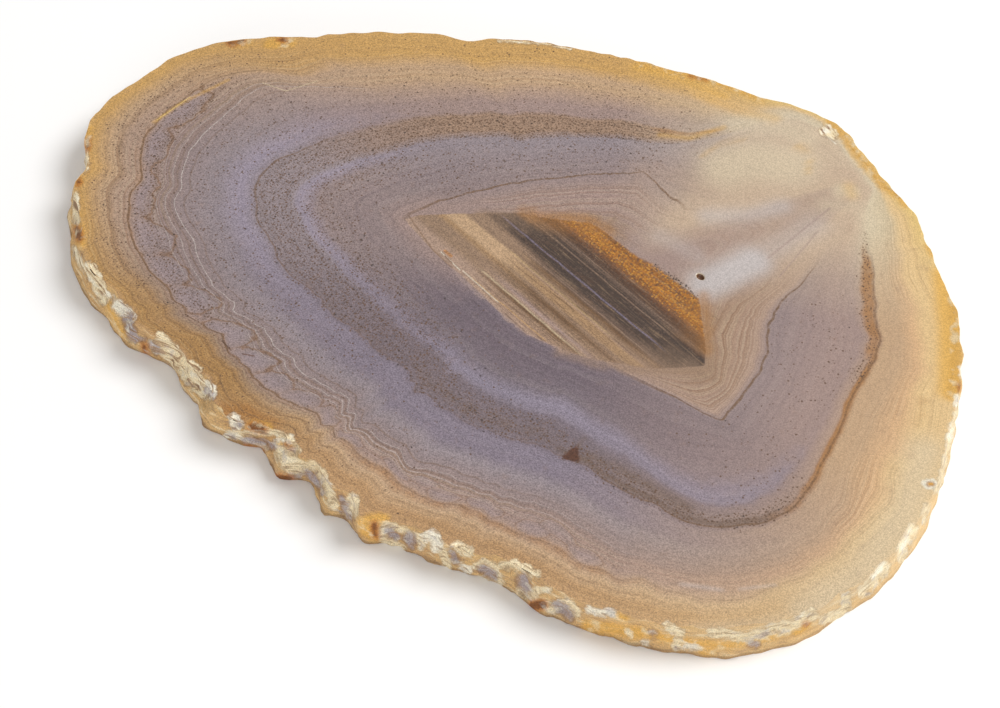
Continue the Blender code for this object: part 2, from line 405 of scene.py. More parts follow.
# Rows of Span in which each field is high; directions past 360 or under 0 run over the seam
SPANS: dict[str, tuple] = {
    # where iron specks lie in the chalcedony
    "pepper": (
        (99, 168, 3.0, 3.95, 1.0), (160, 250, 3.0, 3.85, .75), (88, 100, 3.2, 3.9, .5),
        (168, 232, 2.1, 2.9, .16), (172, 212, .35, .95, .2), (172, 214, 1.05, 1.55, .6),
        (104, 165, 1.3, 2.9, .12), (95, 172, 4.1, 4.98, .16), (0, 42, 3.02, 3.5, .6),
        (-40, 24, 3.6, 4.95, .05), (284, 334, 2.97, 3.4, .7), (240, 285, 3.02, 3.7, .6),
        (165, 235, 3.95, 4.4, .45), (92, 262, .2, 4.9, .04, 12)),
    # where fine growth lines show
    "growth": (
        (196, 246, .1, 1.0, .85), (246, 305, .1, 1.0, .38), (160, 200, .25, 1.0, .75),
        (96, 160, .2, 1.9, .5, 8), (316, 412, .05, 2.4, .7, 8), (166, 302, 1.2, 2.05, .7),
        (318, 392, 5.05, 6.95, .85), (92, 165, 5.1, 6.95, .6), (165, 222, 4.2, 4.97, .7),
        (110, 165, 4.3, 4.97, .5), (220, 300, 4.1, 4.97, .55), (390, 432, 1.5, 6.8, .45, 8),
        (-10, 370, 0, 8, .3, .01)),
    # where the growth lines are brown and cream; elsewhere they are dusky and lilac
    "warm": ((-10, 370, 0, 1.95, 1, .01), (-60, 172, 5.2, 8, 1, 12), (-30, 110, 0, 3, 1, 12)),
    # a dull brown wash along the outside of the peppered zone
    "brown": (
        (284, 330, 3.0, 3.22, .9, 8, .1), (236, 290, 3.05, 3.5, .4, 8, .2),
        (96, 166, 3.05, 3.8, .2, 10, .1), (166, 236, 3.02, 3.2, .35, 10, .08)),
    # orange brown round the line at the right
    "ember": (
        (8, 38, 3.0, 3.46, .85, 6, .15), (330, 374, 2.9, 3.18, .95, 12, .1),
        (84, 104, 3.0, 3.3, .6, 8, .12), (246, 302, .8, 1.1, .5, 8, .12)),
    # lilac along the middle of the inner lilac band, and outside the peppered zone
    "lilac": (
        (262, 338, 3.72, 4.12, .9, 14, .2), (160, 262, 3.9, 4.1, .5, 14, .1),
        (160, 300, 2.7, 2.95, .55, 14, .15)),
    # golden brown beside the core, above its amber and at its right corner
    "tawny": ((92, 150, 6.2, 7.2, .8, 16, .5), (330, 372, 6.0, 7.2, .75, 10, .5)),
}


@dataclass(frozen=True)
class Relief:
    """One size of bumps on the rind: its noise cells round the edge and down it."""

    seed: int
    height_mm: float
    cells: tuple[int, int]


RELIEFS = (Relief(11, .14, (150, 3)), Relief(12, .10, (320, 7)), Relief(13, .06, (640, 14)))
# How rough the rind is, by direction: worn smooth at the back, lumpy at the lower left
ROUGHNESS = ((0, .4), (40, .3), (100, .3), (160, .4), (190, .7), (215, 1.2), (285, 1.3),
             (310, .9), (340, .5))

# How much each side's own bands show, by direction
SHARES = {
    "left_side": ((150, 0), (164, .5), (176, 1), (196, .85), (210, .2), (220, 0)),
    "top_side": ((76, 0), (92, 1), (152, 1), (168, .6), (178, .1), (184, 0)),
    "right_side": ((286, 0), (300, .12), (315, .42), (330, .74), (344, 1), (50, 1), (66, 0)),
    "tube_side": ((17, 0), (30, .35), (42, 1), (68, 1), (78, .85), (86, .5), (96, .25), (112, 0)),
    "bottom_side": ((226, 0), (246, 1), (332, 1), (342, 0)),
}


class Tone(Enum):
    """The stone's colours, named and chosen."""

    GOLD_SAND = "D6A761"
    TAN = "C2986A"
    BROWN_OCHRE = "B48850"
    HONEY = "E3AE48"
    PALE_HONEY = "F0CC7C"
    STRAW = "EFCB92"
    PEACH = "E4B98A"
    SAND = "CCA984"
    ROSE = "B89A86"
    TAUPE = "AA9087"
    GREY_TAUPE = "9C8885"
    GREY_LILAC = "9C8E92"
    LAVENDER = "968B9A"
    PALE_LAVENDER = "AA9DAC"
    VIOLET = "8C7F8B"
    SMOKE = "7F7178"
    DEEP_SMOKE = "776870"
    DUSK = "64545A"
    TAN_BROWN = "A2846B"
    ORANGE_BROWN = "B07838"
    LINE_BROWN = "87603E"
    DUN = "776050"
    FAWN = "AE8E76"
    BISCUIT = "B08C66"
    NUT = "78583A"
    CREAM_HAZE = "DEC9A4"
    PEARL = "E2D0B0"
    CLOUD = "D3B89C"
    MILK = "D0C8C6"
    UMBER = "5E4230"
    SPECK = "6A4D38"
    CHAR = "3A2D27"
    THREAD = "CFC3BC"
    LILAC_THREAD = "8B7E90"
    BISTRE = "4C3C33"
    SEPIA = "705A4C"
    RUST_FADE = "875A38"
    AMBER = "C07C2A"
    AMBER_DEEP = "A8681F"
    AMBER_LIGHT = "DDA042"
    RUST = "B5691F"
    RUST_DARK = "6B3A0E"
    PAINTED_GLOW = "EDB650"
    # painted light: the warm glow of light coming through the translucent rim
    WEDGE = "5C3520"
    RIND_GOLD = "DDB678"
    RIND_AMBER = "E2AC4E"
    RIND_CREAM = "F1DFB8"
    CHALK = "F8F0DA"
    POOL = "A89FA6"

    @property
    def linear(self) -> tuple[float, float, float, float]:
        """The colour in linear light."""
        return srgb(self.value)


# A sequence of band colours: (place, tone) pairs in rising order
Bands = tuple[tuple[float, Tone], ...]

# Lower edge of the photograph: brown rim, grey taupe scallops, then violet smoke; its darkness towards
# the core is partly the stone's colour, partly painted shade
COOL_BANDS: Bands = (
    (0, Tone.TAN), (.15, Tone.BROWN_OCHRE), (.6, Tone.BROWN_OCHRE), (.85, Tone.TAN_BROWN),
    (1.1, Tone.TAUPE), (1.5, Tone.GREY_TAUPE), (2.0, Tone.GREY_TAUPE), (2.3, Tone.GREY_LILAC),
    (2.6, Tone.VIOLET), (2.9, Tone.VIOLET), (3.05, Tone.SMOKE), (3.75, Tone.SMOKE),
    (4.0, Tone.VIOLET), (4.25, Tone.SMOKE), (4.6, Tone.DEEP_SMOKE), (4.95, Tone.DEEP_SMOKE),
    (5.1, Tone.GREY_TAUPE), (7, Tone.GREY_TAUPE))
# The same edge further right: a paler rim of sand and rose, then the same smoke, partly painted shade,
# towards the core
BOTTOM_BANDS: Bands = (
    (0, Tone.TAN), (.35, Tone.TAN), (.7, Tone.SAND), (1.0, Tone.ROSE), (1.3, Tone.TAUPE),
    (1.7, Tone.TAUPE), (2.1, Tone.GREY_TAUPE), (2.4, Tone.GREY_LILAC), (2.6, Tone.VIOLET),
    (2.92, Tone.VIOLET), (3.05, Tone.SMOKE), (3.75, Tone.SMOKE), (4.0, Tone.LAVENDER),
    (4.25, Tone.SMOKE), (4.6, Tone.DEEP_SMOKE), (4.95, Tone.DEEP_SMOKE), (5.1, Tone.TAUPE),
    (7, Tone.TAUPE))
# Left end: tan rim, taupe scallops and the broad pale lavender band
LEFT_BANDS: Bands = (
    (0, Tone.GOLD_SAND), (.15, Tone.GOLD_SAND), (.45, Tone.SAND), (.75, Tone.ROSE), (1.0, Tone.ROSE),
    (1.2, Tone.TAUPE), (2.0, Tone.GREY_TAUPE), (2.5, Tone.GREY_LILAC),
    (2.8, Tone.PALE_LAVENDER), (3.0, Tone.GREY_LILAC), (3.8, Tone.GREY_LILAC),
    (3.98, Tone.PALE_LAVENDER), (4.15, Tone.GREY_TAUPE), (4.7, Tone.GREY_TAUPE),
    (4.95, Tone.TAUPE), (7, Tone.TAUPE))
# Back edge: golden rim, then sand, rose and taupe
TOP_BANDS: Bands = (
    (0, Tone.GOLD_SAND), (.8, Tone.GOLD_SAND), (1.3, Tone.SAND), (1.7, Tone.SAND), (2.2, Tone.ROSE),
    (2.6, Tone.TAUPE), (2.95, Tone.TAUPE), (3.1, Tone.FAWN), (3.65, Tone.FAWN),
    (3.95, Tone.GREY_LILAC), (4.1, Tone.GREY_LILAC), (4.95, Tone.GREY_TAUPE), (5.5, Tone.TAUPE),
    (7, Tone.TAUPE))
# Right end: straw and peach, an orange-brown line, then rose and taupe; its paleness is partly painted
# light falling from the right
RIGHT_BANDS: Bands = (
    (0, Tone.STRAW), (.9, Tone.STRAW), (1.5, Tone.PEACH), (2.2, Tone.SAND), (2.85, Tone.SAND),
    (3.0, Tone.FAWN), (3.3, Tone.ROSE), (3.8, Tone.TAUPE), (4.2, Tone.TAUPE),
    (4.95, Tone.GREY_TAUPE), (5.2, Tone.ROSE), (6.0, Tone.FAWN), (7, Tone.FAWN))
# The escape tube and its cloud: cream at the rim, pearl and greyer cloud inwards
TUBE_BANDS: Bands = (
    (0, Tone.PALE_HONEY), (.8, Tone.STRAW), (1.6, Tone.CREAM_HAZE), (3.0, Tone.PEARL),
    (4.4, Tone.CLOUD), (5.6, Tone.CLOUD), (7, Tone.TAUPE))

# Bands across the water lines, by millimetres from the core's middle, lower left to upper right
WATER_BANDS: Bands = (
    (-12.2, Tone.ROSE), (-11.3, Tone.FAWN), (-10.4, Tone.TAN_BROWN), (-9.8, Tone.NUT),
    (-9.3, Tone.ROSE), (-8.9, Tone.TAUPE), (-8.3, Tone.TAN_BROWN), (-7.3, Tone.NUT),
    (-6.6, Tone.TAN_BROWN), (-6.2, Tone.BISCUIT), (-5.3, Tone.BISCUIT), (-4.9, Tone.FAWN),
    (-4.65, Tone.TAN_BROWN), (-3.8, Tone.NUT), (-3.3, Tone.SEPIA), (-2.8, Tone.SEPIA),
    (-2.4, Tone.BISTRE), (1.2, Tone.BISTRE), (1.6, Tone.SEPIA), (2.0, Tone.SEPIA),
    (2.4, Tone.UMBER), (3.1, Tone.UMBER), (3.6, Tone.RUST_FADE), (4.3, Tone.AMBER_DEEP),
    (5.0, Tone.AMBER), (5.5, Tone.AMBER), (6.3, Tone.AMBER_DEEP), (7.5, Tone.AMBER))
# The paler left end of the core, on the same millimetres
WATER_PALE_BANDS: Bands = (
    (-12.2, Tone.ROSE), (-10.6, Tone.ROSE), (-9.4, Tone.TAN_BROWN), (-7.9, Tone.TAN_BROWN),
    (-7.1, Tone.BISCUIT), (-6.5, Tone.SAND), (-4.9, Tone.SAND), (-4.5, Tone.TAN_BROWN),
    (-3.2, Tone.TAN_BROWN), (-2.4, Tone.TAN_BROWN), (7.5, Tone.FAWN))


@dataclass(frozen=True)
class WaterThread:
    """A thin straight line in the core, by millimetres across from its middle."""

    across_mm: float
    half_width_mm: float
    tone: Tone
    strength: float


DARK_THREADS = tuple(WaterThread(*row) for row in (
    (-3.3, .13, Tone.FAWN, .55), (-2.3, .1, Tone.SEPIA, .6), (-1.4, .2, Tone.LILAC_THREAD, .9),
    (-.7, .09, Tone.SEPIA, .6), (-.1, .09, Tone.SEPIA, .45), (.95, .15, Tone.FAWN, .6),
    (1.45, .1, Tone.CHAR, .5), (2.0, .1, Tone.FAWN, .45), (3.1, .26, Tone.RUST_DARK, .45),
))
PALE_THREADS = tuple(WaterThread(*row) for row in (
    (-11.65, .1, Tone.UMBER, .35), (-11.35, .12, Tone.HONEY, .35), (-10.0, .2, Tone.NUT, .45),
    (-9.6, .2, Tone.CREAM_HAZE, .6), (-8.0, .13, Tone.NUT, .4), (-7.5, .1, Tone.NUT, .4),
    (-6.5, .13, Tone.NUT, .3), (-4.65, .3, Tone.PALE_HONEY, .2), (-4.3, .12, Tone.UMBER, .35),
))
# Each set of threads, and the millimetres along the core where it fades in and out
WATER_THREADS = ((DARK_THREADS, (-18, -16), (14, 10)), (PALE_THREADS, (-13, -11), (9, 5)))

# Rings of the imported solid: the step of height that sorts its corners, and the least in a ring
RING_STEP_MM = 0.05
RING_LEAST_CORNERS = 60


@dataclass(frozen=True)
class StoneOutline:
    """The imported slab's wall, read as distance from the core's middle by direction and height."""

    heights_mm: np.ndarray
    radii_mm: np.ndarray

    @classmethod
    def of_node(cls, node: bpy.types.Object, directions: np.ndarray) -> "StoneOutline":
        """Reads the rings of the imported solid.

        Args:
            node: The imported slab.
            directions: Evenly spaced directions, in degrees.

        Returns:
            The outline, one ring for each height at which the solid has corners.
        """
        flat = np.empty(len(node.data.vertices) * 3, np.float32)
        node.data.vertices.foreach_get("co", flat)
        corners = np.unique(np.round(flat.reshape(-1, 3).astype(float) / MM, 3), axis=0)
        steps = np.round(corners[:, 2] / RING_STEP_MM).astype(int)
        found, counts = np.unique(steps, return_counts=True)
        rings, heights = [], []
        for step in found[counts > RING_LEAST_CORNERS]:
            ring = corners[steps == step]
            rings.append(reach_by_direction(ring[:, :2] - CORE_MIDDLE, directions))
            heights.append(ring[:, 2].mean())
        return cls(np.array(heights), np.array(rings))

    def at_height(self, height_mm: float) -> np.ndarray:
        """The wall's distance at one height, straight between the rings next to it.

        Args:
            height_mm: Height over the floor.

        Returns:
            Millimetres from the core's middle at each direction.
        """
        above = int(np.clip(np.searchsorted(self.heights_mm, height_mm), 1, len(self.heights_mm) - 1))
        low, high = self.heights_mm[above - 1], self.heights_mm[above]
        share = np.clip((height_mm - low) / (high - low), 0, 1)
        return self.radii_mm[above - 1] * (1 - share) + self.radii_mm[above] * share


class Stain(Enum):
    """What colours a patch of the stone, the painted glow among them; the value is the name of its field
    on the mesh.
    """

    CREAM = "cream"
    WHITE = "white"
    POOL = "pool"
    GOLD = "gold"
    RUST = "rust"
    MILK = "milk"
    PAINTED_GLOW = "painted_glow"
    ROSE = "rose"
    HAZE = "haze"
    EMBER = "ember"
    BROWN = "brown"
    AMBER = "amber"
    DUSK = "dusk"
    HONEY = "honey"


CHIPPED = (Stain.CREAM, Stain.WHITE, Stain.POOL)
RIND_STAINS = (*CHIPPED, Stain.GOLD, Stain.RUST)


@dataclass(frozen=True)
class FineStroke:
    """A narrow mark on the polished face, along photo pixels."""

    tone: Tone
    half_width_mm: float
    strength: float
    pixels: tuple[tuple[float, float], ...]
    softness: float = 0.5


@dataclass(frozen=True)
class Lobe:
    """A rounded botryoidal lobe, by direction and depth level, with its half sizes."""

    direction: float
    depth: float
    half_degrees: float
    half_levels: float


@dataclass(frozen=True)
class Trace:
    """A thin line along one depth level, with its strength by direction."""

    level: float
    strengths: tuple[tuple[float, float], ...]


# Patches on the hidden rind: bearing about the slab's middle in degrees, height, and the two
# half sizes in millimetres
RIND_PATCHES: dict[Stain, tuple] = {
    Stain.CREAM: (
        (33, 2.2, 2.0, .9), (36, 3.4, 1.4, .8), (58, 4.2, 5.0, .9), (95, 1.8, 2.2, .8),
        (99, 3.0, 1.5, 1.1), (120, 4.4, 4.6, .8), (124, 3.4, 1.8, .9), (152, 2.4, 3.4, .8),
        (171, 3.8, 1.8, 1.2), (175, 2.2, 1.6, 1.0)),
    Stain.POOL: ((37, 2.6, .9, .6), (97, 2.4, 1.0, .5), (173, 3.0, .9, .7)),
    Stain.RUST: ((86, 2.6, 1.6, .5), (88, 3.8, .9, .4)),
    Stain.GOLD: ((140, 2.0, 5.0, 1.2), (70, 1.6, 3.6, .8), (108, 4.0, 2.6, .7)),
    Stain.WHITE: ((122, 3.9, 1.2, .5), (154, 2.6, .9, .4)),
}

# Marks on the rind and rim that the photograph shows: half width, then a course, both in pixels
RIND_MARKS: dict[Stain, tuple] = {
    Stain.CREAM: (
        (6, ((90, 268), (98, 283), (103, 299))), (3, ((75, 194), (77, 222))),
        (2.5, ((74, 248), (83, 268))), (2, ((86, 150), (86, 170))),
        (8, ((158, 346), (172, 353), (184, 368), (198, 386), (208, 392))),
        (3.5, ((160, 335), (174, 348))), (4, ((190, 364), (198, 370))),
        (3, ((228, 434), (250, 433), (272, 432), (290, 438), (297, 450))),
        (9, ((284, 454), (290, 463), (296, 468))),
        (4.5, ((300, 466), (314, 466), (322, 475), (328, 490), (334, 506))),
        (7, ((352, 500), (352, 511))),
        (3.5, ((386, 542), (381, 532), (386, 525), (402, 530), (418, 538), (420, 546))),
        (3.5, ((390, 542), (402, 547))), (4, ((443, 552), (447, 566))), (6, ((457, 547), (467, 551))),
        (3, ((476, 566), (484, 561), (495, 567), (501, 582))), (2.2, ((478, 577), (500, 586))),
        (4.5, ((502, 566), (516, 565), (535, 574))), (3.5, ((520, 592), (534, 598))),
        (3.5, ((534, 591), (547, 590))), (5, ((546, 606), (553, 608), (566, 603), (576, 612))),
        (3, ((628, 630), (630, 634))), (4.5, ((668, 626), (680, 634), (676, 646))),
        (4.5, ((712, 632), (728, 634), (742, 638), (764, 633))),
        (5.5, ((772, 629), (792, 626), (812, 614))), (4.5, ((824, 620), (846, 610), (846, 596))),
        (5.5, ((863, 592), (873, 582), (885, 566))), (5, ((902, 558), (904, 545), (913, 529))),
        (2.5, ((926, 506), (924, 522))),
        (2.6, ((958, 397), (957, 416), (951, 432), (946, 460), (938, 492))),
        (4.5, ((824, 131), (834, 134))), (2.2, ((500, 39), (545, 42), (570, 47)))),
    Stain.WHITE: (
        (6, ((118, 305), (124, 311), (130, 317))), (2.5, ((106, 293), (111, 296))),
        (2, ((150, 342), (146, 350), (148, 355))), (3.5, ((208, 384), (214, 391))),
        (6.5, ((234, 420), (237, 425))), (2.2, ((226, 436), (238, 437), (250, 442))),
        (2, ((258, 446), (266, 448))), (2, ((276, 440), (288, 441), (293, 448))),
        (6, ((426, 537), (434, 536), (437, 546))), (3, ((462, 566), (470, 570))),
        (2.6, ((381, 535), (385, 528))), (3, ((589, 608), (591, 612))), (4, ((598, 613), (612, 613))),
        (2.6, ((643, 643), (647, 643))), (3, ((686, 646), (698, 648))), (2.4, ((797, 619), (803, 616))),
        (3, ((875, 577), (884, 565))), (2.4, ((903, 548), (910, 532))), (2, ((958, 398), (957, 405))),
        (2.4, ((952, 427), (950, 438))), (2, ((961, 368), (961, 375))), (2.2, ((823, 133), (830, 127)))),
    Stain.POOL: (
        (4, ((125, 319), (130, 318))), (5, ((129, 328), (134, 338))), (2.5, ((143, 339), (144, 340))),
        (4, ((152, 345), (158, 352))), (4, ((206, 391), (212, 395))), (2, ((238, 421), (240, 426))),
        (3.6, ((244, 440), (262, 442), (273, 446))), (3, ((290, 477), (300, 475))),
        (3, ((304, 470), (312, 476), (322, 492))), (3, ((341, 498), (345, 505), (344, 512), (350, 518))),
        (4.5, ((388, 532), (396, 537))), (5.5, ((408, 537), (412, 543))),
        (3.5, ((452, 552), (456, 562))), (5, ((483, 569), (493, 576))), (6, ((522, 579), (526, 589))),
        (5, ((556, 605), (562, 609), (570, 616))), (3, ((652, 632), (654, 636))),
        (4, ((750, 643), (756, 644)))),
    Stain.GOLD: (
        (3, ((73, 188), (80, 180))), (3, ((76, 211), (79, 215))), (5.5, ((79, 228), (80, 243))),
        (3, ((108, 304), (115, 320), (123, 334))),
        (5, ((252, 426), (268, 428))), (3, ((278, 444), (288, 446))),
        (5, ((362, 522), (372, 519), (384, 519))), (7, ((366, 530), (374, 534))),
        (6, ((588, 626), (612, 629), (640, 633))), (3.5, ((618, 617), (624, 618))),
        (4.5, ((702, 650), (712, 651))), (5.5, ((796, 630), (806, 624))),
        (4, ((652, 636), (690, 643), (730, 645), (770, 637), (790, 630))),
        (6, ((953, 292), (957, 320), (957, 350), (955, 380), (952, 394))),
        (3, ((928, 246), (932, 254))),
        (5, ((830, 124), (846, 138), (858, 156), (872, 172), (882, 184))),
        (3.5, ((884, 187), (900, 198), (906, 204))), (3.5, ((236, 43), (248, 42))),
        (5, ((268, 44), (290, 42))), (2.5, ((89, 126), (87, 148))),
        (4, ((640, 64), (672, 71), (706, 79), (740, 90), (762, 98)))),
    Stain.RUST: (
        (2, ((77, 184), (79, 181))), (3.4, ((77, 230), (79, 238))), (4, ((252, 427), (262, 429))),
        (2, ((286, 446), (290, 448))), (2.6, ((374, 524), (376, 535))), (4.5, ((533, 606), (542, 605))),
        (.3, ((804, 625), (808, 623))), (.3, ((959, 384), (959, 390))), (2, ((144, 345), (146, 354))),
        (2.4, ((246, 448), (260, 451))), (2.6, ((278, 477), (290, 479))), (2, ((230, 43), (244, 41))),
        (2, ((280, 40), (286, 40))), (2, ((88, 140), (87, 148))), (0, ((690, 76), (706, 80)))),
}

# Soft strokes of colour on the polished face: half width in millimetres, strength, course in
# photo pixels
SOFT_STROKES: dict[Stain, tuple] = {
    Stain.MILK: (
        (3.0, .95, ((706, 284), (728, 274), (752, 262))),
        (3.0, .4, ((752, 262), (788, 242), (814, 226))),
        (1.8, .35, ((660, 236), (690, 252), (704, 262))),
        (2.0, .5, ((708, 216), (750, 214), (782, 206))),
        (.45, .4, ((681, 584), (722, 590))), (.4, .35, ((740, 589), (775, 585)))),
    Stain.ROSE: (
        (1.3, .45, ((700, 234), (746, 238), (790, 222))),
        (2.2, .4, ((640, 170), (680, 176), (706, 190)))),
    Stain.HAZE: (
        (4.2, .95, ((726, 166), (756, 160), (792, 166))),
        (2.6, .7, ((736, 124), (776, 124), (806, 136))),
        (3.2, .75, ((806, 612), (862, 572), (906, 512), (924, 452))),
        (2.2, .5, ((700, 636), (760, 628), (806, 612))),
        (1.5, .9, ((842, 190), (852, 192))), (1.8, .5, ((826, 206), (856, 204), (868, 224)))),
    # painted light: a warm glow along the rim, where light comes through the translucent stone
    Stain.PAINTED_GLOW: (
        (1.3, .4, ((700, 96), (735, 110), (775, 118))), (1.1, .5, ((636, 68), (680, 79), (724, 96))),
        (1.7, .9, ((943, 275), (949, 330), (949, 390))), (1.3, .4, ((849, 187), (852, 195)))),
    Stain.HONEY: (
        (.6, .35, ((702, 156), (720, 144), (744, 138))), (.7, .4, ((798, 146), (810, 158), (808, 172))),
        (.6, .5, ((660, 135), (690, 138), (724, 127)))),
    Stain.AMBER: (
        (1.2, .6, ((704, 296), (707, 330), (706, 352))),
        (1.6, .65, ((524, 214), (550, 217), (582, 219), (606, 231)))),
    Stain.DUSK: (
        (1.0, .75, ((560, 352), (594, 362), (640, 371), (700, 370))),
        (.9, .7, ((478, 214), (500, 214), (530, 214)))),
    Stain.EMBER: (
        (1.5, .9, ((226, 410), (246, 412), (270, 426))),
        (.8, .35, ((153, 126), (142, 146), (140, 178), (130, 214), (133, 240))),
        (.9, .35, ((896, 470), (892, 500))), (.9, .3, ((924, 400), (918, 430), (912, 455)))),
    Stain.BROWN: (
        (.5, .6, ((586, 437), (576, 449))),
        (1.1, .7, ((590, 456), (616, 468), (650, 486), (690, 508)))),
}

FINE_STROKES = tuple(FineStroke(*row) for row in (
    # chalky streak, iron spots and dark rim of the core's lower left edge
    (Tone.CHALK, .11, .4, ((463, 271), (498, 302)), .8),
    (Tone.CHALK, .09, .55, ((441, 252), (460, 270))),
    (Tone.AMBER, .24, .6, ((445, 251), (451, 256))),
    (Tone.RUST_DARK, .1, .7, ((445, 256), (452, 263))),
    (Tone.NUT, .12, .5, ((409, 216), (432, 249), (452, 268)), .8),
    # creases of the tube's cloud
    (Tone.TAUPE, .16, .5, ((768, 258), (830, 208)), 1),
    (Tone.TAUPE, .14, .45, ((780, 276), (818, 231)), 1),
    # cracks and chips by the tube's mouth
    (Tone.RUST_DARK, .1, .8, ((848, 144), (868, 166))),
    (Tone.RUST_DARK, .2, .6, ((870, 172), (875, 177))),
    (Tone.CHALK, .13, .8, ((878, 180), (884, 182))),
    (Tone.CHALK, .1, .7, ((824, 134), (836, 144))),
    (Tone.RUST_DARK, .16, .9, ((885, 188), (893, 190), (899, 198))),
    # the ringed pocket at the right rim
    (Tone.CHALK, .75, .9, ((928, 484), (932, 484)), .3),
    (Tone.SAND, .42, .9, ((929, 484), (932, 484)), .4),
    (Tone.AMBER_LIGHT, .2, .9, ((930, 484), (932, 484)), .6),
    # honey and cream threads of the left end
    (Tone.HONEY, .3, .4, ((154, 122), (180, 104), (228, 80)), 1),
    (Tone.PALE_HONEY, .09, .75, ((157, 120), (174, 108), (190, 97)), .8),
    (Tone.CREAM_HAZE, .1, .55, ((263, 83), (286, 91), (317, 81)), .8),
    (Tone.UMBER, .11, .7, ((222, 341), (231, 350))),
    (Tone.RUST_DARK, .11, .6, ((243, 354), (254, 356))),
))
# Where the dark grit beside the pit lies
GRIT_STROKE = FineStroke(Tone.DUN, .42, .75, ((655, 266), (676, 280), (696, 297)))

# The scalloped zone of the left end and the lower edge
LOBES = tuple(Lobe(*row) for row in (
    (179, 1.1, 4.6, .46), (185.5, 1.1, 3.8, .46), (193.5, 1.1, 4.2, .42), (200, 1.15, 3.2, .56),
    (205.5, 1.2, 2.8, .5), (210.5, 1.2, 2.8, .6), (217.5, 1.2, 3.0, .56), (223.5, 1.2, 2.9, .56),
    (229, 1.2, 2.7, .5), (234.2, 1.2, 2.6, .5), (239.5, 1.2, 2.6, .4), (246, 1.3, 3.0, .24),
    (256.5, 1.36, 3.8, .22), (262.5, 1.5, 2.8, .2), (267, 1.25, 3.2, .26), (275, 1.38, 4.0, .24),
    (284.5, 1.25, 3.2, .24), (289, 1.5, 3.4, .22), (294, 1.25, 3.0, .24),
))

# Thin lines along the bands, white and brown
PALE_TRACES = tuple(Trace(*row) for row in (
    (1.60, ((166, 0), (176, .3), (200, .45), (245, .5), (285, .3), (300, 0))),
    (1.80, ((160, 0), (168, .4), (200, .55), (240, .65), (268, .5), (285, .3), (300, 0))),
    (Level.DRAPE, (
        (158, 0), (163, .8), (168.5, .9), (170, .3), (172, 1), (216, 1), (245, .8), (262, .5),
        (280, .3), (300, .3), (304, 0))),
))
UMBER_TRACES = tuple(Trace(*row) for row in (
    (.28, ((196, 0), (206, .5), (240, .6), (256, .3), (300, .2), (310, 0))),
    (.62, ((170, 0), (176, .4), (206, .5), (240, .5), (256, .25), (300, .2), (310, 0))),
    (Level.HONEY, (
        (160, 0), (168, .5), (178, .6), (196, .9), (212, .8), (225, .9), (236, .7), (262, .45),
        (285, .45), (298, .5), (302, .3), (318, .3), (330, .2), (348, .3), (352, 0))),
    (1.70, ((164, 0), (170, .5), (262, .55), (285, .3), (300, 0))),
    (1.90, ((164, 0), (170, .5), (262, .6), (285, .3), (300, 0))),
    (2.12, ((164, 0), (170, .4), (262, .5), (285, .2), (300, 0))),
    (Level.PEPPER, (
        (160, 0), (172, .4), (182, .9), (196, .7), (235, .45), (255, .3), (293, .4), (300, .7),
        (318, 1), (335, .9), (352, .8), (12, .8), (30, .5), (40, 0))),
    (Level.ANGLE, (
        (72, 0), (78, .4), (84, 1), (130, 1), (172, 1), (182, .5), (186, 0), (300, 0), (312, .4),
        (322, .9), (331, 1), (345, 1), (0, 1), (26, 1), (33, .6), (36, 0))),
))

FACE_HEIGHT_MM = 5.5
# The way round the edge, and the direction at the back where it starts
ROUND_MM, SEAM_DEGREES = 330.0, 110.0
# The small open pit beside the core
PIT_PX = (700.5, 276.5)
PIT_HALF_SIZE_MM = (0.52, 0.36)
PIT_DEPTH_MM = 0.5
# Corners of the small dark wedge below the middle
WEDGE_PX = ((555, 460), (579, 441), (582, 464))


def course_distance(spots: np.ndarray, course: tuple | np.ndarray) -> np.ndarray:
    """Least distance from each spot to a course of straight legs.

    On each leg the nearest point is at the spot's shadow on the leg, held between its ends.

    Args:
        spots: One (across, down) or (x, y) row for each spot.
        course: The course's corners, in the same units; one corner alone is a dot.

    Returns:
        The distance of each spot, in the same units.
    """
    corners = np.asarray(course, float).reshape(-1, 2)
    if len(corners) == 1:
        corners = np.repeat(corners, 2, axis=0)
    nearest = np.full(len(spots), np.inf)
    for start, end in zip(corners[:-1], corners[1:]):
        leg = end - start
        share = np.clip(((spots - start) @ leg) / max(leg @ leg, 1e-9), 0, 1)
        away = spots - start - share[:, None] * leg
        nearest = np.minimum(nearest, np.hypot(away[:, 0], away[:, 1]))
    return nearest


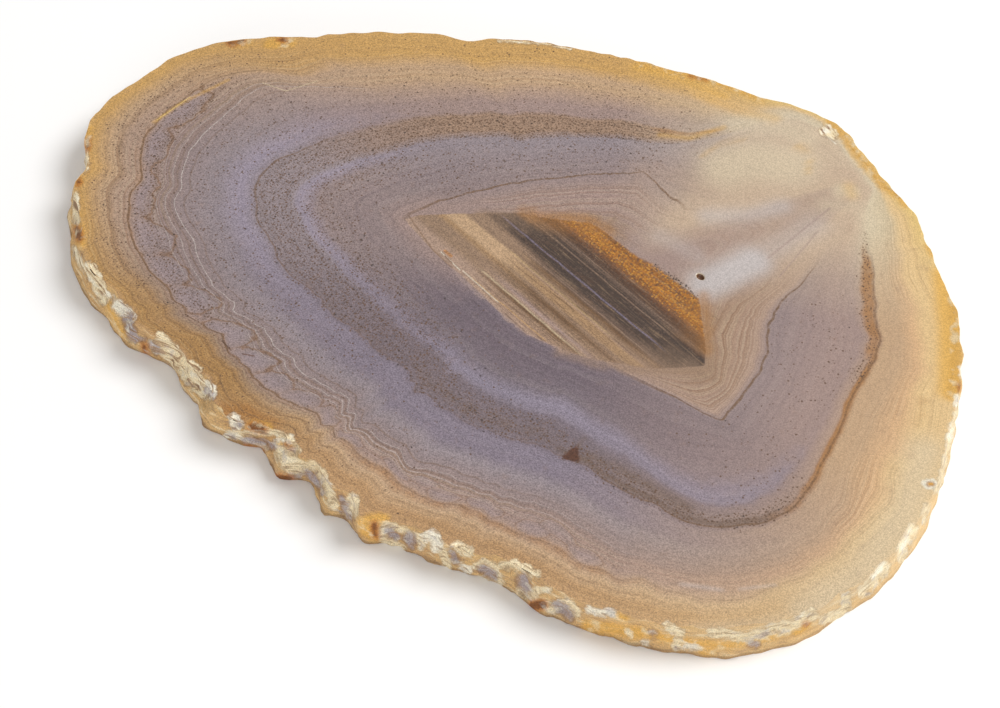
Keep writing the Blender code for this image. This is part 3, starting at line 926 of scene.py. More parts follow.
@dataclass
class AgateSlice:
    """The slice: one closed surface carried round the core's middle, and the fields on it.

    The fields are numbers kept on the surface's points, which the material reads.
    """

    outline: StoneOutline
    turns: int = 720
    zone_rows: tuple[int, ...] = (13, 17, 10, 9, 10, 9, 18, 2)
    rim_depths: tuple[float, ...] = (0.012, 0.03, 0.052, 0.11)
    pit_rows: int = 11
    pit_overlap: float = 1.3
    wall_rows: int = 22
    under_rows: tuple[int, ...] = (3, 2, 1, 1, 1, 1, 1, 1)
    thickness_mm: float = FACE_HEIGHT_MM
    least_gap_mm: float = 0.05
    least_skin_mm: float = 0.02
    relief_height_share: float = 0.98
    relief_fall_a_level: float = 3.0
    relief_soften: float = 4.0
    marks_reach_mm: float = 3.5
    chip_depth_mm: float = 0.22
    chip_edge_mm: tuple[float, float] = (-0.05, 0.45)
    unmarked_mm: float = -1.5
    lobe_rise_levels: float = 0.3
    wedge_limit_mm: float = 5.0
    sharp_degrees: float = 50.0
    side_steps: int = 40
    fields: dict[str, np.ndarray] = field(default_factory=dict)

    def directions(self) -> np.ndarray:
        """The even directions about the core's middle, in degrees."""
        return np.arange(self.turns) * (360 / self.turns)

    def core_radii(self, directions: np.ndarray) -> np.ndarray:
        """The core's edge: where the ray of each direction leaves the core's outline.

        Args:
            directions: Directions about the core's middle, in degrees.

        Returns:
            Millimetres at each direction.
        """
        corners = VIEW.on_face(CORE_EDGE_PX) - CORE_MIDDLE
        ends = np.roll(corners, -1, axis=0)
        share = np.linspace(0, 1, self.side_steps, endpoint=False)[:, None, None]
        return reach_by_direction((corners * (1 - share) + ends * share).reshape(-1, 2), directions)

    def level_radii(self, rim: np.ndarray) -> np.ndarray:
        """Distances of all depth levels from the core's middle, each inside the one before.

        Args:
            rim: The rim's distance by direction, in millimetres.

        Returns:
            One row for each level from the rim to the middle.
        """
        directions = self.directions()
        rows = [rim, *(contour.radii(directions, rim) for contour in CONTOURS),
                self.core_radii(directions), rim * 0]
        core = rows[Level.CORE]
        for level in range(Level.HONEY, Level.CORE):
            rows[level] = np.maximum(rows[level], core + (Level.CORE - level) * self.least_gap_mm)
        for level in range(Level.HONEY, Level.CORE):
            rows[level] = np.minimum(rows[level], rows[level - 1] - self.least_gap_mm)
        return np.array(rows)

    def pit_depths(self, levels: np.ndarray) -> np.ndarray:
        """Depth levels of the extra rows that cross the pit, evenly over its width.

        Args:
            levels: Distances of the depth levels, one row each.

        Returns:
            Depth levels.
        """
        off = VIEW.on_face(PIT_PX)[0] - CORE_MIDDLE
        column = int(round(bearing_of(off) / 360 * self.turns))
        steps = np.linspace(-self.pit_overlap, self.pit_overlap, self.pit_rows)
        reach = np.hypot(*off) + steps * PIT_HALF_SIZE_MM[0]
        return np.interp(-reach, -levels[:, column], np.arange(len(levels)))

    def face_rows(self, rim: np.ndarray, counts: tuple[int, ...],
                  extra: np.ndarray) -> tuple[np.ndarray, np.ndarray, np.ndarray]:
        """Rows of points on a flat face: even steps of depth between the levels.

        Args:
            rim: The rim's distance by direction, in millimetres.
            counts: How many rows each zone gets.
            extra: Depth levels of further rows.

        Returns:
            Depths, distances and zone widths, one row each, from just inside the rim inwards.
        """
        levels = self.level_radii(rim)
        depths = np.concatenate([zone + np.arange(1, count + 1) / count
                                 for zone, count in enumerate(counts)])[:-1]
        depths = np.sort(np.concatenate((depths, extra)))
        inner = np.floor(depths).astype(int)
        share = (depths - inner)[:, None]
        radii = levels[inner] * (1 - share) + levels[inner + 1] * share
        return depths[:, None] * np.ones(self.turns), radii, levels[inner] - levels[inner + 1]

    def rind_relief(self, row_share: np.ndarray) -> np.ndarray:
        """Fine relief of the rind: sizes of smooth noise added up, in millimetres.

        Args:
            row_share: Height share of each wall row, 1 at the polished face.

        Returns:
            Outward displacement for each wall row and direction.
        """
        across = np.broadcast_to(np.arange(self.turns) / self.turns, (len(row_share), self.turns))
        down = np.broadcast_to(row_share[:, None], across.shape) * self.relief_height_share
        strength = round_stations(ROUGHNESS, self.directions(), self.relief_soften)
        return strength * sum(relief.height_mm * lattice_noise(relief.seed, across, down, relief.cells)
                              for relief in RELIEFS)

    def in_sight(self, wall: np.ndarray) -> np.ndarray:
        """Tells which directions show their wall: its outward side turned to the camera.

        Args:
            wall: The wall's distance at each direction.

        Returns:
            True or false for each direction.
        """
        ring = self.ring_points(wall[None], wall[None] * 0)
        # the wall's course, taken over three steps to each side
        along = np.roll(ring, -3, axis=0) - np.roll(ring, 3, axis=0)
        back = VIEW.back()
        return along[:, 1] * back.x - along[:, 0] * back.y > 0

    def ring_points(self, radii: np.ndarray, heights: np.ndarray) -> np.ndarray:
        """Points of the rings, by distance from the core's middle and height.

        Args:
            radii: Distances, one row for each ring.
            heights: Heights, of the same shape.

        Returns:
            One (x, y, z) row in millimetres for each point, ring after ring.
        """
        angle = np.radians(self.directions())
        x = CORE_MIDDLE[0] + radii * np.cos(angle)
        y = CORE_MIDDLE[1] + radii * np.sin(angle)
        return np.stack((x, y, heights), -1).reshape(-1, 3)

    def build(self) -> bpy.types.Object:
        """Builds the closed surface and its fields.

        Rows run from the middle of the polished face to the rim, down the wall and back under
        the slab; each row is a ring of equal directions. The two middles are single points.
        Chips in the rind are hollows: the wall moves in there, and the face sinks at the rim.

        Returns:
            The piece.
        """
        upper, lower = self.outline.at_height(self.thickness_mm), self.outline.at_height(0.0)
        extra = np.append(self.rim_depths, self.pit_depths(self.level_radii(upper)))
        top_depth, top_radii, top_zone = self.face_rows(upper, self.zone_rows, extra)
        low_depth, low_radii, low_zone = self.face_rows(lower, self.under_rows, extra[:0])
        top_skin, low_skin = top_radii - upper, low_radii - lower
        row_share = np.linspace(1, 0, self.wall_rows)
        wall_z = row_share[:, None] * self.thickness_mm * np.ones(self.turns)
        wall_radii = (np.array([self.outline.at_height(z) for z in wall_z[:, 0]])
                      + self.rind_relief(row_share))
        # the rim's relief also moves the outer rows of the faces, less and less inwards
        top_radii += (wall_radii[0] - upper) * np.exp(-self.relief_fall_a_level * top_depth)
        low_radii += (wall_radii[-1] - lower) * np.exp(-self.relief_fall_a_level * low_depth)
        wall_zone = np.broadcast_to(top_zone[0], wall_z.shape)
        wall_skin = np.minimum(self.thickness_mm - wall_z, wall_z) + self.least_skin_mm
        radii = np.concatenate((top_radii[::-1], wall_radii, low_radii))
        heights = np.concatenate((np.full(top_radii.shape, self.thickness_mm), wall_z,
                                  np.zeros(low_radii.shape)))
        depth = np.concatenate((top_depth[::-1], wall_z * 0, low_depth))
        skin = np.concatenate((top_skin[::-1], wall_skin, low_skin))
        zone = np.concatenate((top_zone[::-1], wall_zone, low_zone))
        first, last = len(top_radii), len(top_radii) + self.wall_rows
        shown = skin > -self.marks_reach_mm
        shown[first:last] = self.in_sight(wall_radii[self.wall_rows // 2])
        shown[last:] = False
        marks = self.rind_fields(self.ring_points(radii, heights), shown.ravel())
        chips = np.max([marks[stain.value] for stain in CHIPPED], 0).reshape(radii.shape)
        hollow = self.chip_depth_mm * smooth_step(chips, *self.chip_edge_mm)
        radii[first:last] -= hollow[first:last]
        heights[:first + 1] -= hollow[:first + 1]
        pit = self.pit_depth(self.ring_points(radii, heights)).reshape(radii.shape)
        pit[first:] = 0
        points = self.ring_points(radii, heights - pit)
        points = np.concatenate((points, [[*CORE_MIDDLE, self.thickness_mm], [*CORE_MIDDLE, 0.0]]))
        piece = self.closed_mesh(points, len(radii))
        # each field and its value at the two middles
        ends = {"depth": (depth, Level.MIDDLE), "skin": (skin, skin.min()),
                "zone_width": (zone, zone[0, 0]), "pit": (pit, 0)}
        ends |= {name: (values, self.unmarked_mm) for name, values in marks.items()}
        self.fields = {name: np.append(values.ravel(), (end, end))
                       for name, (values, end) in ends.items()}
        self.measure_fields(points)
        for name, values in self.fields.items():
            layer = piece.data.attributes.new(name, "FLOAT", "POINT")
            layer.data.foreach_set("value", values.astype(np.float32))
        return piece

    def pit_depth(self, points: np.ndarray) -> np.ndarray:
        """Depth of the small open pit by the core: a bowl with steep sides.

        The two offsets, turned with the water lines and divided by the half sizes, are squared
        and added up; the depth falls off as a bell of that sum squared.

        Args:
            points: Points in millimetres.

        Returns:
            Millimetres at each point.
        """
        off = points[:, :2] - VIEW.on_face(PIT_PX)[0]
        along = off[:, 0] * math.cos(WATER_TURN) + off[:, 1] * math.sin(WATER_TURN)
        across = off[:, 1] * math.cos(WATER_TURN) - off[:, 0] * math.sin(WATER_TURN)
        spread = (along / PIT_HALF_SIZE_MM[0]) ** 2 + (across / PIT_HALF_SIZE_MM[1]) ** 2
        return PIT_DEPTH_MM * np.exp(-spread ** 2)

    def closed_mesh(self, points: np.ndarray, rows: int) -> bpy.types.Object:
        """Joins the rings with quads and each middle with a fan.

        Args:
            points: All points in millimetres, rings first, then the upper and lower middle.
            rows: The number of rings.

        Returns:
            The piece, linked to the scene.
        """
        ring = np.arange(self.turns)
        after = np.roll(ring, -1)
        start = (np.arange(rows - 1) * self.turns)[:, None]
        quads = np.stack((start + ring, start + self.turns + ring, start + self.turns + after,
                          start + after), -1).reshape(-1, 4)
        last = (rows - 1) * self.turns
        top, low = len(points) - 2, len(points) - 1
        fan_top = np.stack((np.full(self.turns, top), ring, after), -1)
        fan_low = np.stack((np.full(self.turns, low), last + after, last + ring), -1)
        data = bpy.data.meshes.new(PIECE_NAME)
        faces = quads.tolist() + fan_top.tolist() + fan_low.tolist()
        data.from_pydata((points * MM).tolist(), [], faces)
        data.polygons.foreach_set("use_smooth", np.ones(len(faces), bool))
        data.update()
        data.set_sharp_from_angle(angle=math.radians(self.sharp_degrees))
        return add_object(PIECE_NAME, data)

    def measure_fields(self, points: np.ndarray) -> None:
        """Works out the fields of the polished face that the material reads.

        Args:
            points: All points in millimetres.
        """
        depth = self.fields["depth"]
        direction = bearing_of(points[:, :2] - CORE_MIDDLE)
        for name, stations in SHARES.items():
            self.fields[name] = round_stations(stations, direction)
        # millimetres round the edge, with the seam at the back
        self.fields["around"] = (direction - SEAM_DEGREES) % 360 / 360 * ROUND_MM
        for name, spans in SPANS.items():
            self.fields[name] = np.max([Span(*span).strength_at(direction, depth) for span in spans], 0)
        self.fields["lobe"] = self.lobe_field(direction, depth)
        for name, traces in (("pale_trace", PALE_TRACES), ("umber_trace", UMBER_TRACES)):
            self.fields[name] = self.trace_field(direction, depth, traces)
        upper = points[:, 2] > self.thickness_mm / 2
        for stain, strokes in SOFT_STROKES.items():
            bells = [strength * upper * self.bell(points, pixels, half_width_mm)
                     for half_width_mm, strength, pixels in strokes]
            # ember and brown also lie along the bands
            self.fields[stain.value] = np.max([self.fields.get(stain.value, bells[0]), *bells], 0)
        self.fields["wedge"] = self.wedge_field(points)

    def bell(self, points: np.ndarray, pixels: tuple, half_width_mm: float) -> np.ndarray:
        """A stroke's strength: a bell of the distance to its course over its half width."""
        away = course_distance(points[:, :2], VIEW.on_face(pixels))
        return np.exp(-(away / half_width_mm) ** 2)

    def lobe_field(self, direction: np.ndarray, depth: np.ndarray) -> np.ndarray:
        """Height inside the nearest lobe: 1 at its middle, 0 at its outline, less outside.

        The lobes end at the honey line, from which the height rises evenly.

        Args:
            direction: Directions about the core's middle, in degrees.
            depth: Depth levels.

        Returns:
            The height at each point.
        """
        best = np.full(len(depth), -1.0)
        for lobe in LOBES:
            off = turn_from(lobe.direction, direction) / lobe.half_degrees
            inward = (depth - lobe.depth) / lobe.half_levels
            best = np.maximum(best, 1 - np.sqrt(off ** 2 + inward ** 2))
        return np.minimum(best, (depth - Level.HONEY) / self.lobe_rise_levels)

    def trace_field(self, direction: np.ndarray, depth: np.ndarray,
                    traces: tuple[Trace, ...]) -> np.ndarray:
        """Strength of the nearest trace's line at each point's direction.

        Args:
            direction: Directions about the core's middle, in degrees.
            depth: Depth levels.
            traces: The traces.

        Returns:
            The strength at each point.
        """
        strengths = np.array([round_stations(trace.strengths, direction) for trace in traces])
        nearest = np.argmin([np.abs(depth - trace.level) for trace in traces], 0)
        return strengths[nearest, np.arange(len(depth))]

    def rind_fields(self, points: np.ndarray, shown: np.ndarray) -> dict[str, np.ndarray]:
        """How far inside a rind mark each point lies, in millimetres, for each rind stain.

        A point that the photograph shows is carried into it, and compared with the marks there.
        The hidden wall has patches: one less the distance in half sizes, times the lesser half.

        Args:
            points: Points of the rings in millimetres.
            shown: Whether the marks of the photograph hold at each point.

        Returns:
            One field for each stain, negative outside its marks.
        """
        photo = VIEW.to_photo(points[shown])
        radius = np.hypot(points[:, 0], points[:, 1])
        bearing = bearing_of(points[:, :2])
        hidden = ~shown & (points[:, 2] < self.thickness_mm) & (points[:, 2] > 0)
        fields = {}
        for stain in RIND_STAINS:
            inside = np.full(len(points), self.unmarked_mm)
            for half_width_px, course in RIND_MARKS[stain]:
                gap = (half_width_px - course_distance(photo, course)) / VIEW.pixels_a_mm
                inside[shown] = np.maximum(inside[shown], gap)
            for middle, height_mm, half_width_mm, half_height_mm in RIND_PATCHES[stain]:
                off = np.radians(turn_from(middle, bearing)) * radius
                rise = points[:, 2] - height_mm
                gap = 1 - np.hypot(off / half_width_mm, rise / half_height_mm)
                gap = np.where(hidden, gap * half_height_mm, self.unmarked_mm)
                inside = np.maximum(inside, gap)
            fields[stain.value] = inside
        return fields

    def wedge_field(self, points: np.ndarray) -> np.ndarray:
        """Millimetres inside the dark wedge: the least distance from its three sides.

        Args:
            points: All points in millimetres.

        Returns:
            The distance at each point, negative outside.
        """
        corners = VIEW.on_face(WEDGE_PX)
        first, second = corners[1] - corners[0], corners[2] - corners[0]
        if first[0] * second[1] < first[1] * second[0]:
            corners = corners[::-1]
        inside = np.full(len(points), self.wedge_limit_mm)
        for start, end in zip(corners, np.roll(corners, -1, axis=0)):
            side = (end - start) / np.hypot(*(end - start))
            off = points[:, :2] - start
            inside = np.minimum(inside, side[0] * off[:, 1] - side[1] * off[:, 0])
        return np.maximum(inside, -self.wedge_limit_mm)


class Ripple(Enum):
    """Shared noises: the size of their largest bumps in millimetres, and their finer layers.

    Quartz fibres are under 0.05 mm, which is less than half a pixel, so FIBRE is drawn coarser.
    """

    FIBRE = (0.16, 1.0)
    CRUMB = (0.5, 2.0)
    FRAY = (0.9, 4.0)
    MOTTLE = (1.8, 4.0)
    WOBBLE = (2.2, 3.0)
    WAVE = (4.0, 2.0)
    DRIFT = (7.0, 1.0)
    CLOUD = (12.0, 2.0)


@dataclass(frozen=True)
class Mask:
    """Where a layer shows: none of it at start and all of it at full, moved by a ripple."""

    start: float
    full: float
    ripple: Ripple | None = None
    reach: float = 0.0


@dataclass(frozen=True)
class Coat:
    """A layer of one tone, where its mask shows; source is the field that the mask follows."""

    tone: Tone
    mask: Mask
    strength: float
    source: str = ""


@dataclass(frozen=True)
class Speckle:
    """A sort of round specks, one to a cell.

    The radius is a share of the cell; the share is that of the cells which hold a speck.
    """

    tone: Tone
    spacing_mm: float
    radius_share: float
    share: float
    strength: float


# The sides' own bands, in the order in which they are laid over the cool bands
SIDE_BANDS = (
    ("bottom_side", BOTTOM_BANDS), ("left_side", LEFT_BANDS), ("top_side", TOP_BANDS),
    ("right_side", RIGHT_BANDS), ("tube_side", TUBE_BANDS),
)
# Soft washes along the bands
BAND_WASH = Mask(.05, 1.0, Ripple.MOTTLE, .9)
WASHES = (
    Coat(Tone.TAN_BROWN, BAND_WASH, .8, "tawny"), Coat(Tone.DUN, BAND_WASH, .75, "brown"),
    Coat(Tone.ORANGE_BROWN, BAND_WASH, .8, "ember"), Coat(Tone.LAVENDER, BAND_WASH, .6, "lilac"),
)
# Growth lines: bumps to a depth level, dark and pale masks. The finest bands are under 0.1 mm,
# so they are drawn about 0.3 mm apart
COARSE_LINES = (9.0, Mask(.48, .37), Mask(.54, .65))
FINE_LINES = (25.0, Mask(.48, .35), Mask(.54, .67))
COME_AND_GO = Mask(-.25, .15)
# Tones and strengths of the dark and the pale lines
WARM_LINES = ((Tone.LINE_BROWN, .34), (Tone.CREAM_HAZE, .16))
COOL_LINES = ((Tone.DUSK, .24), (Tone.THREAD, .09))
LOBE_COATS = (
    Coat(Tone.GREY_LILAC, Mask(-.1, .3, Ripple.MOTTLE, .7), .35),
    Coat(Tone.PALE_LAVENDER, Mask(.1, .7, Ripple.MOTTLE, .7), .2),
)
LOBE_OUTLINE = (Mask(-.1, .0, Ripple.MOTTLE, .7), Mask(.12, .0, Ripple.MOTTLE, .7))
LOBE_OUTLINE_STRENGTH = .65
# How much of a line's half width, and of a speck's radius, shows in full
LINE_CORE, SPECK_CORE = .3, .55
# A stroke's soft outer edge and its ripple, in half widths
STROKE_EDGE, STROKE_FRAY = .8, .9
# The thin traced lines: their traces, field, tone and half width in millimetres
TRACED_LINES = ((UMBER_TRACES, "umber_trace", Tone.NUT, .2),
                (PALE_TRACES, "pale_trace", Tone.THREAD, .12))
TRACED_STRENGTH = .85
BROKEN = Mask(-.45, .15)
# Iron specks: real ones are 0.1 mm, drawn up to 0.25 mm
PEPPER_SPECKS = (
    Speckle(Tone.SPECK, .30, .46, .95, .6), Speckle(Tone.SPECK, .46, .36, .6, .85),
    Speckle(Tone.CHAR, 1.1, .16, .3, .75),
)
PEPPER_ROWS_A_LEVEL = 14.0
PEPPER_ROWS = Mask(.2, .62)
PEPPER_SHADE = .1
# Soft strokes in the escape tube's cloud and along the rim, with a painted glow of light coming through
# the rim
CLOUDY = Mask(.02, .95, Ripple.WAVE, .12)
CLOUDS = (
    Coat(Tone.ROSE, CLOUDY, .7, "rose"), Coat(Tone.PEARL, CLOUDY, .65, "haze"),
    Coat(Tone.MILK, CLOUDY, .85, "milk"), Coat(Tone.PAINTED_GLOW, CLOUDY, .85, "painted_glow"),
    Coat(Tone.HONEY, CLOUDY, .8, "honey"),
)
# The core's paler end, by millimetres along and across the water lines from its middle
PALE_ALONG = Mask(-5.0, -14.0, Ripple.WAVE, 3.0)
PALE_ACROSS = Mask(-2.2, -3.2, Ripple.WAVE, .5)
WATER_WAVE_MM = .3
# Streaks along the water lines: noise cells to the millimetre, along and across
STREAKS = (
    ((.16, 2.72, 0), Coat(Tone.UMBER, Mask(.5, .32), .5)),
    ((.128, 2.24, 0), Coat(Tone.SAND, Mask(.55, .72), .3)),
    ((.352, 8.0, 0), Coat(Tone.UMBER, Mask(.47, .3), .4)),
    ((.352, 6.72, 0), Coat(Tone.SAND, Mask(.56, .74), .3)),
)
# Grains of the core's dusky part and of its amber edge, by millimetres across
CORE_GRAINS = (
    (Mask(-3.4, -2.2, Ripple.MOTTLE, .6),
     (Speckle(Tone.CHAR, .34, .44, .75, .38), Speckle(Tone.SEPIA, .5, .4, .35, .5))),
    (Mask(3.4, 4.7, Ripple.MOTTLE, .6),
     (Speckle(Tone.AMBER_LIGHT, .40, .46, .6, .55), Speckle(Tone.RUST_FADE, .56, .42, .5, .5),
      Speckle(Tone.UMBER, .8, .3, .3, .6))),
)
# The core's edge, by millimetres inside it, and the stains across it
CORE_EDGE = Mask(-.3, .3, Ripple.FRAY, .6)
EDGE_STAIN = Mask(.05, 1.0, Ripple.MOTTLE, .45)
EDGE_STAINS = (Coat(Tone.TAN_BROWN, EDGE_STAIN, .75, "dusk"),
               Coat(Tone.ORANGE_BROWN, EDGE_STAIN, .75, "amber"))
# The grit beside the pit, the wedge, and the pit with its pale lip, by millimetres of depth
GRIT = (Speckle(GRIT_STROKE.tone, .3, .5, .8, GRIT_STROKE.strength), Speckle(Tone.CHAR, .42, .4, .4, .8))
DARK_SPOTS = (
    Coat(Tone.WEDGE, Mask(.05, .4, Ripple.FRAY, .5), .9, "wedge"),
    Coat(Tone.CREAM_HAZE, Mask(.005, .03), .6, "pit"),
    # the pit's colour follows its depth: pale at its edge, dark brown from 0.05 mm down
    Coat(Tone.RUST_DARK, Mask(.05, .14), .95, "pit"),
)
# The rind, by millimetres outside the rim; its strata are 4 mm long and 0.6 mm thick
WALL = Mask(-.06, .08, Ripple.FRAY, .5)
STRATA_CELLS_A_METRE = (250.0, 250.0, 1700.0)
GOLDEN = Coat(Tone.RIND_GOLD, Mask(-.5, .2), .75)
PALE_STRATA = Coat(Tone.RIND_CREAM, Mask(.52, .68), .6)
DARK_STRATA = Coat(Tone.BISCUIT, Mask(.47, .36), .65)
BROWN_SPOTS = Coat(Tone.LINE_BROWN, Mask(.10, .26, Ripple.CRUMB, .5), .45)
# painted shade: the wall darkens towards the floor, below 0.75 mm
FOOT_SHADE = Coat(Tone.NUT, Mask(.75 * MM, .2 * MM, Ripple.MOTTLE, .6 * MM), .6)
# Marks on the rind, by millimetres inside them
FRAYED = (Ripple.FRAY, .9)
# painted shadow: a thin brown line just outside each chip, as if cast under its edge
CHIP_SHADOW_LINE = Coat(Tone.LINE_BROWN, Mask(-.4, -.02, Ripple.FRAY, 1.2), .45)
RIND_COATS = (
    Coat(Tone.RIND_AMBER, Mask(-.5, .4, *FRAYED), .8, "gold"),
    Coat(Tone.RIND_CREAM, Mask(-.22, .16, *FRAYED), .9, "cream"),
    Coat(Tone.CHALK, Mask(-.2, .2, *FRAYED), .9, "white"),
    # painted shadow: a brown ring just outside the pools
    Coat(Tone.LINE_BROWN, Mask(-.3, -.04, *FRAYED), .3, "pool"),
    Coat(Tone.POOL, Mask(-.14, .3, *FRAYED), .75, "pool"),
    Coat(Tone.RUST, Mask(-.6, .1, *FRAYED), .75, "rust"),
    Coat(Tone.RUST_DARK, Mask(-.1, .25, *FRAYED), .8, "rust"),
)
GOLD_PATCH = Mask(-.3, .3, *FRAYED)
CREAM_MOTTLES = Coat(Tone.RIND_CREAM, Mask(-.02, .16), .6)
# Rubbed streaks in the chips, by noise cells to the millimetre round the edge and down it
CHIPPED_PART = Mask(-.15, .15, *FRAYED)
RUBBED_CELLS_A_MM = (.55, 1.98, 0.0)
RUBBED_COATS = (
    Coat(Tone.CHALK, Mask(.52, .66), .6), Coat(Tone.BISCUIT, Mask(.5, .42), .75),
    Coat(Tone.NUT, Mask(.43, .36), .7),
)
CHIP_POOLS = Coat(Tone.POOL, Mask(.04, .2), .4)


@dataclass(frozen=True)
class AgateFinish:
    """Banded chalcedony, sawn and polished, with its natural rind left round the edge.

    Polished chalcedony is smooth and waxy, so it gives a soft even gloss; the rind is rough,
    dull, and spotted with cream and rust.
    """

    face_roughness: float = 0.34
    rind_roughness: float = 0.8
    ior: float = 1.54
    face_gain: float = 0.76
    # painted light: the rind keeps more of its colour than the face, so the wall is lighter
    rind_gain: float = 0.92
    edge_wobble_mm: float = 0.45
    edge_wobble_levels: float = 0.2
    calm_wobble_mm: float = 0.7
    calm_wobble_levels: float = 0.06
    bottom_lobe_share: float = 0.5
    pale_end_streak_share: float = 0.3
    right_rind_share: float = 0.35
    bottom_softness: float = 0.6
    soft_chip_share: float = 0.55
    grain_strength: float = 1.2
    right_grain_strength: float = 0.65
    cloud_strength: float = 0.14
    rind_bump_mm: float = 0.25
    rind_bump_size_mm: float = 0.7


@dataclass
class StonePaint:
    """The stone's material, laid down layer by layer; colour holds what is laid so far."""

    piece: bpy.types.Object
    finish: AgateFinish = AgateFinish()
    known: dict[object, Socket] = field(default_factory=dict)
    material: bpy.types.Material = field(init=False)
    place: Socket = field(init=False)
    depth: Socket = field(init=False)
    calm_depth: Socket = field(init=False)
    colour: Socket = field(init=False)

    def __post_init__(self) -> None:
        """Makes the material and the places that its patterns follow."""
        self.material = bpy.data.materials.new("polished_chalcedony")
        self.material.use_nodes = True
        self.material.node_tree.nodes.clear()
        self.place = self.add("TexCoord", output="Object")
        self.depth = self.moved_depth(Ripple.WOBBLE, self.finish.edge_wobble_mm,
                                      self.finish.edge_wobble_levels)
        self.calm_depth = self.moved_depth(Ripple.DRIFT, self.finish.calm_wobble_mm,
                                           self.finish.calm_wobble_levels)

    def add(self, kind: str, inputs: dict | None = None, output: int | str = 0,
            **settings: object) -> Socket:
        """Adds one node with its settings and links.

        Args:
            kind: The node's type name after ShaderNode.
            inputs: For each input, by name or number, a socket to link or a constant.
            output: The output to hand back.
            settings: Node properties by name.

        Returns:
            The output socket.
        """
        tree = self.material.node_tree
        node = tree.nodes.new("ShaderNode" + kind)
        for name, value in settings.items():
            setattr(node, name, value)
        for key, value in (inputs or {}).items():
            if isinstance(value, Socket):
                tree.links.new(value, node.inputs[key])
            else:
                node.inputs[key].default_value = value
        return node.outputs[output] if node.outputs else None

    def field_of(self, name: str) -> Socket:
        """A field of the piece, read once.

        Args:
            name: The field's name on the mesh.

        Returns:
            Its value.
        """
        if name not in self.known:
            self.known[name] = self.add("Attribute", None, "Fac", attribute_name=name)
        return self.known[name]

    def ripple(self, ripple: Ripple) -> Socket:
        """A shared noise, made once.

        Args:
            ripple: Which noise.

        Returns:
            Values from about -0.5 to 0.5.
        """
        if ripple not in self.known:
            size_mm, detail = ripple.value
            noise = self.add("TexNoise",
                             {"Vector": self.place, "Scale": 1 / (size_mm * MM), "Detail": detail})
            self.known[ripple] = self.fold("SUBTRACT", noise, 0.5)
        return self.known[ripple]

    def shifted(self, value: Socket, ripple: Ripple, reach: Socket | float) -> Socket:
        """A value moved to and fro by a noise, as far as its reach."""
        return self.add("Math", {0: self.ripple(ripple), 1: reach, 2: value}, operation="MULTIPLY_ADD")

    def moved_depth(self, ripple: Ripple, reach_mm: float, most: float) -> Socket:
        """The depth level, moved by a noise as far as its reach, or so many levels at most."""
        share = self.fold("DIVIDE", reach_mm, self.field_of("zone_width"))
        return self.shifted(self.field_of("depth"), ripple, self.fold("MINIMUM", share, most))

    def edge(self, value: Socket, mask: Mask) -> Socket:
        """How much a layer shows: a smooth rise from the mask's start to where it is full.

        Args:
            value: What the mask follows.
            mask: The mask.

        Returns:
            Shares from 0 to 1.
        """
        if mask.ripple is not None:
            value = self.shifted(value, mask.ripple, mask.reach)
        return self.add("MapRange", {0: value, 1: mask.start, 2: mask.full},
                        interpolation_type="SMOOTHSTEP")

    def fold(self, operation: str, *parts: Socket | float) -> Socket:
        """Joins several numbers by one operation, such as the product or the largest.

        Args:
            operation: The operation's name.
            parts: Sockets or constants.

        Returns:
            The joined number.
        """
        whole = parts[0]
        for part in parts[1:]:
            whole = self.add("Math", {0: whole, 1: part}, operation=operation)
        return whole

    def cover(self, colour: Socket | tuple, share: Socket) -> None:
        """Covers what is laid so far with a colour, by a share."""
        self.colour = self.add("Mix", {0: share, 6: self.colour, 7: colour}, 2, data_type="RGBA")

    def lay(self, tone: Tone, shown: Socket, strength: float) -> None:
        """Lays a tone over the colour, where it is shown, at a strength."""
        self.cover(tone.linear, self.fold("MULTIPLY", shown, strength))

    def coat(self, coat: Coat, value: Socket | None = None, *limits: Socket) -> None:
        """Lays a coat.

        Args:
            coat: The coat.
            value: What its mask follows, in place of the field that the coat names.
            limits: Shares that the mask is multiplied by.
        """
        if value is None:
            value = self.field_of(coat.source)
        self.lay(coat.tone, self.fold("MULTIPLY", self.edge(value, coat.mask), *limits), coat.strength)

    def banded(self, value: Socket, stops: list[tuple[float, tuple]]) -> bpy.types.Node:
        """A ramp of colours over a value.

        Args:
            value: The place, in the stops' own units.
            stops: (place, linear colour) pairs in rising order.

        Returns:
            The ramp's node, with its colour first and its opacity second.
        """
        low, high = stops[0][0], stops[-1][0]
        share = self.add("MapRange", {0: value, 1: low, 2: high})
        ramp = self.add("ValToRGB", {0: share}).node
        elements = ramp.color_ramp.elements
        elements[0].color, elements[-1].color = stops[0][1], stops[-1][1]
        for place, colour in stops[1:-1]:
            elements.new((place - low) / (high - low)).color = colour
        return ramp

    def band_colour(self, value: Socket, bands: Bands) -> Socket:
        """The colour of the band that a place lies in."""
        return self.banded(value, [(place, tone.linear) for place, tone in bands]).outputs[0]

    def level_lines(self, levels: list[float], half_width_mm: float) -> Socket:
        """Thin lines of an even width along depth levels.

        The distance to the nearest level, times the zone's width, is the distance in millimetres.

        Args:
            levels: Levels that carry a line.
            half_width_mm: Half of a line's width.

        Returns:
            The mask of all lines.
        """
        gaps = [self.add("Math", {0: self.fold("SUBTRACT", self.depth, level)},
                         operation="ABSOLUTE") for level in levels]
        away = self.fold("MULTIPLY", self.fold("MINIMUM", *gaps), self.field_of("zone_width"))
        return self.edge(away, Mask(half_width_mm, LINE_CORE * half_width_mm))

